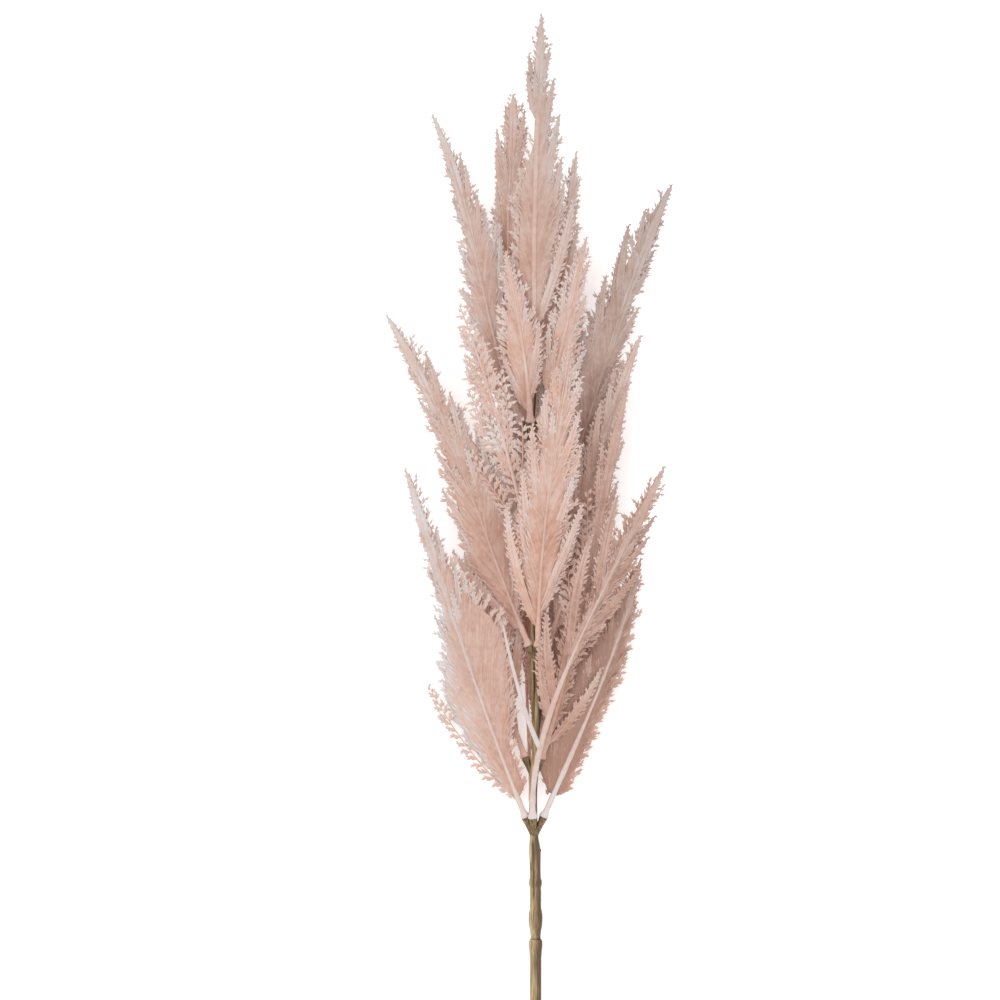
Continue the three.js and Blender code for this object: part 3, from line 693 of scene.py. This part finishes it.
def side_feathers(plan, index, rib, style):
    """The side feathers of a spray: at each place along the rib those of KINDS that the place has."""
    count = int(np.clip(round(rib.length / FEATHER_SPACING), *FEATHER_COUNT))
    feathers = []
    for j in range(count):
        for kind, form in KINDS.items():
            shift = SHIFT["random"] * chance(index, j, 1)
            shift += SHIFT["other"] * form["other"] + SHIFT["close"] * form["close"]
            part = within(FIRST_FEATHER, LAST_FEATHER, (j + shift) / (count - LAST_COUNTS))
            sign = plan.lead * (-1 if (j + form["other"]) % 2 else 1)
            side = 0 if sign > 0 else 1
            bare = part < BARE.get(plan.name, (0, 0))[side]
            missing = form["close"] and chance(index, j, 8) > CLOSE_SHARE
            if bare or missing or (j, kind) in style["none"]:
                continue
            loose = (j, kind) in style["sparse"]
            look = "loose" if loose or style["open"] else "vane"
            near_tip = np.clip((part - TIP_LENGTHS["from"]) / TIP_LENGTHS["over"], 0, 1)
            length = plan.reach[side] * ((1 - part) ** LENGTH_POWER + LEAST_LENGTH)
            length *= within(1, style["tip"], near_tip)
            length *= LOOSE["longer"] if loose else 1
            length *= rib.length * within(*LENGTH_VARIES, chance(index, j, 2)) * form["length"]
            spread = LOW_SPREAD[plan.whorl] * max(0, 1 - part / LOW_PART)
            turn = plan.angle * within(*ANGLE_VARIES, chance(index, j, 3)) + spread
            lift = (1 if j % 4 < 2 else -1) * within(*FEATHER_LIFT, chance(index, j, 4))
            feathers.append({
                "from": part * rib.length,
                "length": length,
                "angle": math.radians(turn * (CLOSE_ANGLE if form["close"] else 1)),
                "sign": sign,
                "lift": lift * form["lift"] + form["raised"],
                "seed": seed_of(index, 4 * j + kind),
                "close": bool(form["close"]),
                "smooth": (j, kind) in style["smooth"],
                "look": look,
                "widest": LOOSE["half"] if look == "loose" else CLOSE_HALF if form["close"] else WIDEST_HALF,
                "blunt": LOOSE["blunt"] if look == "loose" else 1.0,
                "start": 0.0,
            })
    return feathers


def stalks(skin, rib, start, end, along, half, slim, pale, seed):
    """Adds the spindles of twigs or barbs, whose flat starts and ends are bent round the rib. Returns those
    points and the directions across and over each spindle."""
    base, tip = rib.bend(start, RIB_CLEAR), rib.bend(end, TWIG_CLEAR)
    _, _, up = rib.frame_at(along)
    wide = unit(np.cross(unit(tip - base), up))
    points, faces = spindles(base, tip, wide, half[0] * slim[:, None], half[1] * slim[:, None])
    skin.add_spindles(points, faces, pale, seed)
    return base, tip, wide, up


def twigs(skin, rib, feather, start, edges):
    """Twigs on both sides of a feather, with lobes on both sides of each twig.

    A twig leaves the feather's line at an angle and ends at the feather's outline. On a vane only its outer
    part is made, and of the twigs that end above the web only the share TWIGS_ON_WEB."""
    seed, look = feather["seed"], TWIGS[feather["look"]]
    count = max(3, int(feather["length"] * (1 - start) / look["pitch"]))
    k = np.arange(2 * count)
    place = k // 2 + 0.5 * (k % 2) + TWIG["random"] * chance(seed, k, 10)
    u = start + (1 - start) * place / (count + TWIG["random"])
    side = np.where(k % 2 == 0, 1.0, -1.0)
    turn = np.radians(look["angle"] * within(*TWIG["angles"], chance(seed, k, 12)))
    size = half_width(feather, u, side) / np.sin(turn) * within(*TWIG["sizes"], chance(seed, k, 11))
    line = feather_line(feather, u)
    ahead = unit(feather_line(feather, u + 0.01) - line)
    aside = np.stack([-ahead[:, 1], ahead[:, 0], np.zeros(len(k))], -1) * side[:, None]
    rise = np.array([0, 0, 1.0]) * within(*TWIG["rises"], chance(seed, k, 13))[:, None]
    heading = unit(ahead * np.cos(turn)[:, None] + aside * np.sin(turn)[:, None] + rise)
    end = line + heading * size[:, None]
    hidden = np.abs(end[:, 1]) < WEB["hides"] * web_reach(edges, end[:, 0], end[:, 1])
    seen = ~hidden | feather["close"] | (chance(seed, k, 15) < TWIGS_ON_WEB)
    u, size, line, end = u[seen], size[seen], line[seen], end[seen]
    root = look["root"] * np.clip(size / TWIG["full"], 0, 1)
    size = size * (1 - root)
    pale = look["pale"][0] + look["pale"][1] * u
    begin = line + (end - line) * root[:, None]
    made = stalks(skin, rib, begin, end, line[:, 0], look["half"], grown("twig", size), pale, seed)
    lobes(skin, made, size, pale, seed, look)


def lobes(skin, made, size, pale, seed, look):
    """Lobes of many twigs at once: LOBE's pitch apart between two parts of each twig, at an angle to it, left
    and right in turn, and up or down a little. The numbers run to the longest twig's, and those that don't
    fit on their own twig are left out."""
    base, tip, wide, up = made
    most = max(1, int(size.max(initial=0) / LOBE["pitch"]))
    m = np.arange(most)[None]
    k = np.arange(len(base))[:, None]
    place = LOBE["from"] * size[:, None] + LOBE["pitch"] * (m + LOBE["random"] * chance(seed, k, 14))
    fits = place < LOBE["to"] * size[:, None]
    twig, number = np.nonzero(fits & (chance(seed + 0.5, k, m) < look["lobes"]))
    place = place[twig, number]
    length = look["lobe_length"] * grown("lobe_length", size[twig])
    length *= within(*LOBE["sizes"], chance(twig, number, seed))
    hand = np.where((number + twig) % 2 == 0, 1.0, -1.0)[:, None]
    heading = unit(tip - base)[twig]
    foot = base[twig] + heading * place[:, None]
    bend = math.radians(LOBE["angle"])
    tilt = within(*LOBE["tilts"], chance(number, twig, seed + 1))[:, None]
    way = unit(heading * math.cos(bend) + wide[twig] * hand * math.sin(bend) + up[twig] * tilt)
    end = foot + way * length[:, None]
    end[:, 2] = np.maximum(end[:, 2], LOBE_CLEAR)
    slim = grown("lobe", size[twig])[:, None]
    half = look["lobe_half"]
    points, faces = spindles(foot, end, wide[twig], half[0] * slim, half[1] * slim)
    skin.add_spindles(points, faces, pale[twig] + LOBE["paler"] * place / size[twig], seed)


def thin_rib(skin, rib, feather):
    """The thin rib of a feather: a tube along its line that narrows to its point by a power of the way."""
    u = np.linspace(0, THIN_RIB["to"], THIN_RIB["rings"])
    size = within(*THIN_RIB["taper"], u ** THIN_RIB["power"])
    half = [size * part for part in THIN_RIB["half"]]
    points, faces = tube_along(rib, feather_line(feather, u), *half, THIN_RIB["sides"])
    skin.add(points, faces, THIN_RIB["pale"])


def vane(skin, rib, feather, start):
    """The vane of a feather: a flat closed blade, an ellipse carried along the feather's line, worked out
    flat and bent with it. Its streaks attribute holds the place along and across the feather."""
    sides = VANE["sides"]
    rings = max(VANE["least_rings"], int(feather["length"] / VANE["pitch"]))
    u = np.linspace(start, VANE["to"], rings)
    line = feather_line(feather, u)
    turn = 2 * np.pi * np.arange(sides) / sides
    narrower = np.clip(VANE["blunt"] + (1 - u) * feather["length"] / VANE["pointed"], 0, 1)
    left, right = (half_width(feather, u, side) * VANE["share"] * narrower for side in (1.0, -1.0))
    across = 0.5 * (left - right)[:, None] + 0.5 * (left + right)[:, None] * np.cos(turn)
    flat = np.repeat(line[:, None], sides, axis=1)
    flat[..., 1] += across
    flat[..., 2] += VANE["half"] * np.sin(turn) - VANE["depth"]
    clear = VANE["clear"] + VANE["apart"] * np.sin(turn) * (1 if rib.faces_up else -1)
    points, faces = capped(rib.bend(flat, clear))
    along, across = np.repeat(u, sides), np.abs(across).ravel()
    streaks = with_caps(np.stack([along * feather["length"], across, 0 * along], -1))
    streaks[[0, -1], 1] = 0
    pale = VANE["pale"][0] + VANE["pale"][1] * along + VANE["pale"][2] * across / WIDEST_HALF
    pale = np.concatenate([[VANE["foot_pale"]], pale, [VANE["tip_pale"]]])
    skin.add(points, faces, pale, streaks + own_tone(feather["seed"]))


def edge_of(rib, feathers, sign, style):
    """The outline of a web on one side, as distances along and reach across: out along its lowest feather,
    then from tip to tip and to the end of the main rib, times its share and the spray's `web`. With it are
    how far it reaches at least, and where on the rib that ends."""
    side = 0 if sign > 0 else 1
    own = [feather for feather in feathers if feather["sign"] == sign and not feather["close"]]
    own.sort(key=lambda feather: feather["from"])
    first = feather_line(own[0], np.linspace(0, 1, 10))[:, :2]
    tips = [feather_line(feather, 1.0)[:2] for feather in own[1:]]
    line = np.abs(np.vstack([first, *tips, [(rib.length, WEB["end"])]]))
    line = line[np.argsort(line[:, 0])]
    share = WEB["share"] * (1 - WEB["narrows"] * np.minimum(1, line[:, 0] / rib.length))
    return {
        "along": line[:, 0], "reach": line[:, 1] * style["web"][side] * share,
        "least": style["least"][side], "until": style["least"][2] * rib.length,
    }


def web_reach(edges, along, across):
    """How far the web reaches at the distances along, on the side that `across` is on: its outline, evened
    out over the shifts, or its least reach."""
    reaches = []
    for edge in edges:
        outline = sum(np.interp(along + shift, edge["along"], edge["reach"]) for shift in WEB["shifts"])
        room = np.minimum(along - BARE_FOOT, (edge["until"] - along) / WEB["slope"])
        least = np.clip(room, 0, edge["least"])
        reaches.append(np.maximum(outline / len(WEB["shifts"]), least))
    return np.where(across > 0, *reaches)


def web_lift(across, foot, side, part, seed):
    """Height of the web's top: it rises beside the rib as 1 less e to the minus square of the distance, falls
    at the edge by the fourth power, and has pleats along the feathers, a sine of where they leave the rib."""
    beside = 1 - np.exp(-(across / WEB["beside"]) ** 2)
    phase = PLEAT["phase"] * chance(seed, side, 1)
    pleat = PLEAT["height"] * np.sin(2 * np.pi * foot / PLEAT["pitch"] + phase)
    return within(*WEB["rise"], beside) + pleat * beside - WEB["fall"] * part**4


def web_pale(edge, part, along):
    """Paleness of a web: more by the square of the way to its left and right edge, and towards the tip; its
    darker middle by the rib is painted shade of the plume's depths.
    """
    return WEB["pale"][0] + np.where(part > 0, edge[0], edge[1]) * part**2 + WEB["pale"][1] * along


def fringe(skin, rib, edges, angle, index, edge):
    """Rows of barbs on the web that point forwards and outwards; the outer rows make its toothed edge."""
    spread = math.tan(math.radians(angle))
    for sign in (1, -1):
        for number, row in enumerate(FRINGE):
            seed = index * ROW_SEEDS + number * 2 + (sign > 0)
            k = np.arange(int((rib.length - BARE_FOOT - BARB["tip"]) / row["pitch"]))
            along = BARE_FOOT + row["pitch"] * (k + chance(seed, k, 21))
            part = row["part"] - row["scatter"] * chance(seed, k, 22)
            reach = part * web_reach(edges, along, sign)
            seen = (chance(seed, k, 23) < row["share"]) & (reach > BARB["nearest"])
            along, part, reach, k = along[seen], part[seen], reach[seen], k[seen]
            lift = web_lift(reach, along - reach / spread, LEFT_SIDE if sign > 0 else 0.0, part, index)
            turn = np.radians(row["angle"] * within(*BARB["angles"], chance(seed, k, 24)))
            room = grown("barb", reach)
            size = row["length"] * room * within(*BARB["sizes"], chance(seed, k, 25))
            rise = within(*BARB["rises"], chance(seed, k, 26)) + row["rise"]
            base = np.stack([along, sign * reach, lift - BARB["sunk"]], -1)
            step = np.stack([np.cos(turn), sign * np.sin(turn), rise], -1) * size[:, None]
            pale = web_pale(edge, sign * part, along / rib.length) + row["paler"]
            made = stalks(skin, rib, base, base + step, along, row["half"], room, pale, seed)
            if row["lobed"]:
                lobes(skin, made, size, pale, seed, TWIGS["loose"])


def web(skin, rib, edges, angle, seed, edge):
    """The web of a spray, a thin closed sheet from edge to edge across its main rib. Its top has the height
    of web_lift, and its underside is lower by its thickness, which falls by the square of the way to the
    edge."""
    start = max(BARE_FOOT, min(side["along"][0] for side in edges))
    along = np.arange(start, rib.length - WEB["tip"], WEB["pitch"])[:, None]
    part = np.linspace(1, -1, 2 * WEB["sides"] + 1)
    reach = web_reach(edges, along, part[None])
    across = part * reach
    foot = along - np.abs(across) / math.tan(math.radians(angle))
    side = np.where(across > 0, LEFT_SIDE, 0.0)
    top = web_lift(across, foot, side, part, seed)
    thick = WEB["thick"] * (1 - WEB["thinner"] * part**2) * np.minimum(1, reach / WEB["thins_below"])
    flat = np.stack([np.broadcast_to(along, across.shape), across, top], -1)
    under = flat - np.stack([0 * thick, 0 * thick, thick], -1)
    clear = [0 * thick + WEB["clear"], WEB["clear"] - thick]
    sheet = round_sheet(flat, under)
    points, faces = capped(rib.bend(sheet, round_sheet(*(clear if rib.faces_up else clear[::-1]))))
    lean = math.sin(math.radians(angle))
    spray_number = 0 * across + seed * STREAK_SEED
    streaks = np.stack([np.abs(across) / lean, foot * lean + side * STREAK_SHIFT, spray_number], -1)
    pale = web_pale(edge, part, along / rib.length)
    streaks, pale = round_sheet(streaks, streaks).reshape(-1, 3), round_sheet(pale, pale).ravel()
    skin.add(points, faces, with_caps(pale), with_caps(streaks))


def round_sheet(top, under):
    """Rings round a sheet: over its top from left to right and back under it, without its two edges twice."""
    return np.concatenate([top, under[:, -2:0:-1]], axis=1)


def fork_rod(skin, rib, rod):
    """A bare straight rod that forks off the main rib to the left: a tube that narrows to its end."""
    u = np.linspace(0, 1, rod["rings"])
    turn = math.radians(rod["angle"])
    run = rod["length"] * u
    flat = np.stack([rod["from"] + math.cos(turn) * run, math.sin(turn) * run, rod["lift"] * u], -1)
    half = [within(rod["foot"][i], rod["end"][i], u ** rod["taper"]) for i in range(2)]
    points, faces = tube_along(rib, flat, *half, RIB_SIDES)
    skin.add(points, faces, with_caps(np.repeat(within(*rod["pale"], u), RIB_SIDES)))


def main_rib(skin, rib, name):
    """Peg, shoulder and tapering main rib, a tube whose half width falls from foot to tip, with knobs by a
    sine of a sine that fade away; a stout one keeps its width for a part of its length."""
    stations = np.array(RIB_START + list(np.arange(RIB_FROM, rib.length - 1, RIB_PITCH)))
    places = (*RIB_PLACES, rib.length)
    wide = np.interp(stations, places, (*RIB_WIDE, RIB_TIP[0]))
    high = np.interp(stations, places, (*RIB_HIGH, RIB_TIP[1]))
    if name in STOUT:
        left = STOUT[name]["to"] + STOUT[name]["fade"] - stations / rib.length
        stout = STOUT[name]["half"] * np.clip(left / STOUT[name]["fade"], 0, 1)
        wide, high = np.maximum(wide, stout), np.maximum(high, STOUT_HIGH * stout)
    sway = KNOBS["sway"] * np.sin(stations / KNOBS["sway_pitch"])
    fade = np.exp(-stations / KNOBS["fade"])
    knobs = 1 + KNOBS["height"] * np.sin(stations / KNOBS["pitch"] + sway) * fade
    wide, high = wide * knobs, high * knobs
    wide[:3], high[:3] = PEG_RADIUS, PEG_RADIUS
    wide[3], high[3] = SHOULDER
    wide[4], high[4] = SHOULDER[0] * SHOULDER_ENDS, SHOULDER[1] * SHOULDER_ENDS
    at, side, up = rib.frame_at(stations)
    at[:, 2] = np.clip(at[:, 2], high + FLOOR_GAP, BOX[1][2] - high)
    points, faces = tube(at, side, up, wide, high, RIB_SIDES)
    pale = np.clip(1.0 - stations / RIB_PALE["over"], RIB_PALE["least"], 1.0) * style_of(name)["rib"]
    pale = [[RIB_PALE["peg"]], np.repeat(pale, RIB_SIDES), [RIB_PALE["tip"]]]
    skin.add(points, faces, np.concatenate(pale))


def style_of(name):
    return {**PLAIN_STYLE, **STYLE.get(name, {})}


def spray(plan, index, material):
    """One spray as one mesh: its main rib, its web with barbs, the spike at its tip, its rod if it has one,
    and its side feathers. An open spray has no web."""
    rib, style = Rib(plan), style_of(plan.name)
    skin = Skin(style["tone"], style["shade"], rib.points[0, 1], rib.points[-1, 1])
    main_rib(skin, rib, plan.name)
    stout_to = STOUT[plan.name]["to"] if plan.name in STOUT else 0
    start = max(BARE_FOOT / rib.length, min(BARE.get(plan.name, (0, 0))), stout_to)
    spike = spike_of(rib, index, style, start)
    feathers = side_feathers(plan, index, rib, style)
    edges = [edge_of(rib, feathers, sign, style) for sign in (1, -1)]
    if not style["open"]:
        web(skin, rib, edges, plan.angle, index, style["edge"])
        fringe(skin, rib, edges, plan.angle, index, style["edge"])
        vane(skin, rib, spike, start)
    twigs(skin, rib, spike, start, edges)
    if plan.name in FORKS:
        fork_rod(skin, rib, FORKS[plan.name])
    for feather in feathers:
        if feather["smooth"]:
            continue
        thin_rib(skin, rib, feather)
        if feather["look"] == "vane":
            vane(skin, rib, feather, STARTS["vane"])
        twigs(skin, rib, feather, STARTS["twigs"], edges)
    piece = skin.make(plan.name + "_fine", material)
    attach(piece, "root")
    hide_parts(plan.name)


def groove_at(turn, y):
    """How deep the stem's groove is, from 0 to 1, at angles round the stem and heights along it: e to the
    minus square of the angle from its middle, rising and falling evenly at its two ends."""
    first, last = (np.clip(way / GROOVE["ends"], 0, 1) for way in (y - GROOVE["from"], GROOVE["to"] - y))
    return np.exp(-((turn - GROOVE["turn"]) / GROOVE["wide"]) ** 2) * (first * last)


def stem_rings(outside, inside):
    """Rings of points round the stem's centre line at the stations (y, radius) of its outside and then of
    its bore. The outside's radius swells and falls with two cosines of the angle, has a groove where two
    stalks of the real plant would part, and is a little flat."""
    turn = 2 * np.pi * np.arange(STEM_SIDES) / STEM_SIDES
    y, radius = np.vstack([outside, inside]).T[..., None]
    is_outside = np.arange(len(y))[:, None] < len(outside)
    swell = np.cos(RIDGES["count"] * turn + RIDGES["twist"] * y)
    swell = (swell + RIDGES["fine"] * np.cos(RIDGES["fine_count"] * turn)) * is_outside
    groove = groove_at(turn, y) * is_outside
    round_it = radius * (1 + RIDGES["height"] * swell) - GROOVE["deep"] * groove
    flatness = np.where(is_outside, STEM_FLATNESS, 1.0)
    offset = np.stack([round_it * np.cos(turn), 0 * round_it, flatness * round_it * np.sin(turn)], -1)
    return stem_point(y[:, 0])[:, None] + offset


def stem_pale(rings):
    """Paleness of the stem: its paint, with painted light by the cosine of the way round it, palest up and to
    the left where the key lamp falls, and painted shade along the groove."""
    points = rings.reshape(-1, 3)
    off = points - stem_point(points[:, 1])
    turn = np.arctan2(off[:, 2], off[:, 0])
    # Painted light: palest on the upper left side, where the key lamp falls
    pale = PAINT_AND_LIGHT["middle"] + PAINT_AND_LIGHT["side"] * np.cos(turn - PAINT_AND_LIGHT["from"])
    # Painted shade along the groove
    return pale - PAINT_AND_LIGHT["groove"] * groove_at(turn, points[:, 1])


def finely(profile, step):
    """The stations of a profile with more of them between its corners."""
    knots = np.array(profile, float)
    y = np.unique(np.concatenate([knots[:, 0], np.arange(knots[0, 0], knots[-1, 0], step)]))
    return np.column_stack([y, np.interp(y, knots[:, 0], knots[:, 1])])


def cup(whorl, around):
    """A socket: its profile (along, radius) turned round its axis, and kept off the wire in the stem."""
    axis = socket_axis(around)
    along, radius = np.array(CUP, float).T
    side = unit(np.cross(axis, np.array([0, 0, 1.0])))
    other = np.cross(axis, side)
    turn = 2 * np.pi * np.arange(CUP_SIDES) / CUP_SIDES
    circle = np.cos(turn)[:, None] * side + np.sin(turn)[:, None] * other
    grid = stem_point(WHORLS[whorl]) + along[:, None, None] * axis + radius[:, None, None] * circle
    off = grid - stem_point(grid[..., 1])
    off[..., 1] = 0
    reach = np.maximum(np.linalg.norm(off, axis=-1, keepdims=True), 1e-6)
    return capped(grid + off / reach * np.maximum(WIRE_BORE["radius"] + WIRE_BORE["wall"] - reach, 0))


def scar(y, around, reach, size):
    """A small drop-shaped scar on the stem: a sphere stretched along it, sunk in by half."""
    turn = math.radians(around)
    out = np.array([math.cos(turn), 0, math.sin(turn)])
    aside = np.array([-out[2], 0, out[0]])
    polar = np.linspace(SCAR_POLE, np.pi - SCAR_POLE, SCAR_RINGS)[:, None]
    ring = 2 * np.pi * np.arange(SCAR_SIDES) / SCAR_SIDES
    grid = (stem_point(y) + out * reach
            + (size[1] * -np.cos(polar))[..., None] * np.array([0, 1.0, 0])
            + (size[0] * np.sin(polar) * np.cos(ring))[..., None] * out
            + (size[0] * np.sin(polar) * np.sin(ring))[..., None] * aside)
    return capped(grid[::-1])


def stems(material):
    """The two stem parts; the upper one carries a socket for each spray, and scars of the mould."""
    bore, seat, spigot = WIRE_BORE["radius"], SPIGOT["seat_radius"], SPIGOT["radius"]
    lower, upper = Skin(), Skin()
    inside = ((LOWER_STEM[-1][0], seat), (SPIGOT["seat_from"], seat), (SPIGOT["seat_from"], bore), (0, bore))
    rings = stem_rings(finely(LOWER_STEM, step=3), inside)
    lower.add(*looped(rings), stem_pale(rings))
    inside = (
        (UPPER_STEM[0][0], spigot), (SPIGOT["from"], spigot), (SPIGOT["from"], bore), (WIRE_BORE["to"], bore),
    )
    rings = stem_rings(finely(UPPER_STEM, step=2.5)[::-1], inside)
    upper.add(*capped(rings), with_caps(stem_pale(rings)))
    for plan in SPRAYS:
        upper.add(*cup(plan.whorl, plan.around), PAINT_AND_LIGHT["socket"])
    for place in SCARS:
        upper.add(*scar(*place), PAINT_AND_LIGHT["scar"])
    for skin, name in ((lower, "stem_lower"), (upper, "stem_upper")):
        piece = skin.make(name + "_fine", material)
        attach(piece, "root")
        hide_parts(name)


class Finish:
    """A material under way: its nodes and links, and the shader that they lead to."""

    def __init__(self, name):
        self.material = bpy.data.materials.new(name)
        self.material.use_nodes = True
        self.nodes, self.links = self.material.node_tree.nodes, self.material.node_tree.links
        self.shader = self.nodes["Principled BSDF"]

    def node(self, kind, settings, results=None):
        """A new node whose inputs are set, by name or number, to plain numbers or linked to results."""
        node = self.nodes.new(kind)
        self.fill(node, settings)
        return node.outputs[results] if results else node

    def fill(self, node, settings):
        for name, value in settings.items():
            if isinstance(value, bpy.types.NodeSocket):
                self.links.new(value, node.inputs[name])
            else:
                node.inputs[name].default_value = value

    def math(self, operation, *values):
        node = self.node("ShaderNodeMath", dict(enumerate(values)))
        node.operation = operation
        return node.outputs["Value"]

    def scaled(self, vector, scale):
        """The vector times the scale, axis by axis."""
        node = self.node("ShaderNodeVectorMath", {0: vector, 1: scale})
        node.operation = "MULTIPLY"
        return node.outputs["Vector"]

    def place(self):
        return self.node("ShaderNodeTexCoord", {}, "Object")

    def noise(self, vector, scale, detail):
        return self.node("ShaderNodeTexNoise", {"Vector": vector, "Scale": scale, "Detail": detail}, "Fac")

    def attribute(self, name, result):
        node = self.node("ShaderNodeAttribute", {})
        node.attribute_name = name
        return node.outputs[result]

    def bump(self, height, strength, distance):
        settings = {"Height": height, "Strength": strength, "Distance": distance}
        return self.node("ShaderNodeBump", settings, "Normal")

    def ramp(self, value, stops):
        """The colour at the value, blended between the stops (position, colour)."""
        node = self.node("ShaderNodeValToRGB", {"Fac": value})
        elements = node.color_ramp.elements
        elements.remove(elements[1])
        elements[0].position = stops[0][0]
        elements[0].color = (*stops[0][1], 1)
        for position, colour in stops[1:]:
            elements.new(position).color = (*colour, 1)
        return node.outputs["Color"]


def plume_material():
    """Soft dusty pink plastic: its colour follows the points' paleness, from warm pink in the depths, which
    is partly painted shade, to near white at the tips, with waves at the slant of the twigs, long bands that
    are a painted light and shade of the bumped pleats, clouds and mottles, and the points' painted shade
    takes colour and light from it."""
    finish = Finish("dusty_pink_plastic")
    cloud = finish.noise(finish.place(), scale=45, detail=3)
    mottle = finish.noise(finish.place(), scale=320, detail=2)
    streaks = finish.attribute("streaks", "Vector")
    along, across, tone = finish.node("ShaderNodeSeparateXYZ", {"Vector": streaks}).outputs
    band = finish.noise(finish.scaled(streaks, (0.05, 0.9, 37.0)), scale=1.0, detail=2)
    slant = -1 / math.tan(math.radians(TWIGS["vane"]["angle"]))
    slanted = finish.math("MULTIPLY_ADD", across, slant, along)
    wobble = finish.math("MULTIPLY_ADD", cloud, 3.0, slanted)
    wave = finish.math("SINE", finish.math("MULTIPLY", wobble, 2 * math.pi / STREAK_PITCH))
    pale = finish.attribute("pale_and_painted_light", "Fac")
    # The bands also raise the bump, so they paint light on its ridges and shade in its hollows
    for pattern, strength in ((wave, 0.05), (tone, 0.22), (band, 0.7), (cloud, 0.7), (mottle, 0.5)):
        pale = finish.math("MULTIPLY_ADD", pattern, strength, pale)
    # Painted shade: the sprays get greyer and darker by their shade, most towards their tips
    shade = finish.attribute("shade", "Fac")
    colour = finish.node("ShaderNodeHueSaturation", {
        "Color": finish.ramp(finish.math("SUBTRACT", pale, 0.9), PINKS),
        "Saturation": finish.math("MULTIPLY_ADD", shade, -SHADE["colour"], 1.0),
        "Value": finish.math("MULTIPLY_ADD", shade, -SHADE["light"], 1.0),
    }, "Color")
    relief = finish.math("MULTIPLY_ADD", band, 2.0, finish.math("MULTIPLY", wave, 0.4))
    finish.fill(finish.shader, {
        "Base Color": colour,
        "Normal": finish.bump(relief, strength=0.4, distance=0.0004),
        "Roughness": finish.math("MULTIPLY_ADD", mottle, 0.3, 0.42),
        "Specular IOR Level": 0.3,
        "Subsurface Weight": 0.15,
        "Subsurface Radius": (1.0, 0.7, 0.6),
        "Subsurface Scale": 0.0015,
    })
    return finish.material


def stem_material():
    """Olive-tan plastic with a brown wash in lengthwise streaks, a noise stretched along the stem, over a
    paleness with painted light on the stem's upper left side and painted shade along its groove.
    """
    finish = Finish("painted_stem_plastic")
    wash = finish.noise(finish.scaled(finish.place(), (900, 60, 900)), scale=1.0, detail=4.0)
    streaked = finish.math("MULTIPLY_ADD", wash, 1.3, finish.attribute("pale_and_painted_light", "Fac"))
    finish.fill(finish.shader, {
        "Base Color": finish.ramp(finish.math("SUBTRACT", streaked, 0.65), TANS),
        "Normal": finish.bump(wash, strength=0.3, distance=0.0003),
        "Roughness": finish.math("MULTIPLY_ADD", wash, 0.35, 0.4),
    })
    return finish.material


def wire_material():
    """Drawn steel: a light grey metal whose fine lengthwise lines roughen it."""
    finish = Finish("drawn_steel")
    lines = finish.noise(finish.scaled(finish.place(), (6000, 60, 6000)), scale=1.0, detail=3.0)
    finish.fill(finish.shader, {
        "Base Color": (*STEEL, 1),
        "Metallic": 1.0,
        "Roughness": finish.math("MULTIPLY_ADD", lines, 0.3, 0.2),
    })
    return finish.material


def wire():
    """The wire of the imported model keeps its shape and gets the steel."""
    steel = wire_material()
    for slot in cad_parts["stem_wire"].material_slots:
        slot.material = steel


def camera():
    """Looks straight down on the lying stem, which fills the frame as in the photograph."""
    data = bpy.data.cameras.new("camera")
    data.sensor_width = VIEW["sensor"]
    data.lens = VIEW["sensor"] * VIEW["distance"] / VIEW["width"]
    data.clip_end = VIEW["clip"]
    view = new_object("camera", data)
    view.location = in_frame(np.array(VIEW["over"])) + np.array([0, 0, VIEW["distance"]])
    bpy.context.scene.camera = view


def floor():
    """A pale square floor that glows a little, as a lit backdrop does."""
    half = FLOOR["half"]
    corners = [(-half, -half, 0), (half, -half, 0), (half, half, 0), (-half, half, 0)]
    mesh = bpy.data.meshes.new("floor")
    mesh.from_pydata(corners, [], [(0, 1, 2, 3)])
    finish = Finish("pale_floor")
    finish.fill(finish.shader, {
        "Base Color": (FLOOR["grey"], FLOOR["grey"], FLOOR["grey"], 1),
        "Roughness": FLOOR["rough"],
        "Emission Color": (1, 1, 1, 1),
        "Emission Strength": FLOOR["glow"],
    })
    mesh.materials.append(finish.material)
    new_object("floor", mesh)


def studio():
    """An even white sky and two round lamps that look at the middle of the stem."""
    world = bpy.data.worlds.new("studio")
    world.use_nodes = True
    world.node_tree.nodes["Background"].inputs["Color"].default_value = (1, 1, 1, 1)
    world.node_tree.nodes["Background"].inputs["Strength"].default_value = SKY
    bpy.context.scene.world = world
    bpy.context.scene.view_settings.view_transform = "Standard"
    for name, lamp in LIGHTS.items():
        data = bpy.data.lights.new(name, "AREA")
        data.shape = "DISK"
        data.size = lamp["size"]
        data.energy = lamp["power"]
        made = new_object(name, data)
        made.location = lamp["place"]
        made.rotation_mode = "QUATERNION"
        made.rotation_quaternion = (-Vector(lamp["place"])).to_track_quat("-Z", "Y")


camera()
floor()
studio()
stems(stem_material())
wire()
plume = plume_material()
for spray_index, spray_plan in enumerate(SPRAYS):
    spray(spray_plan, spray_index, plume)
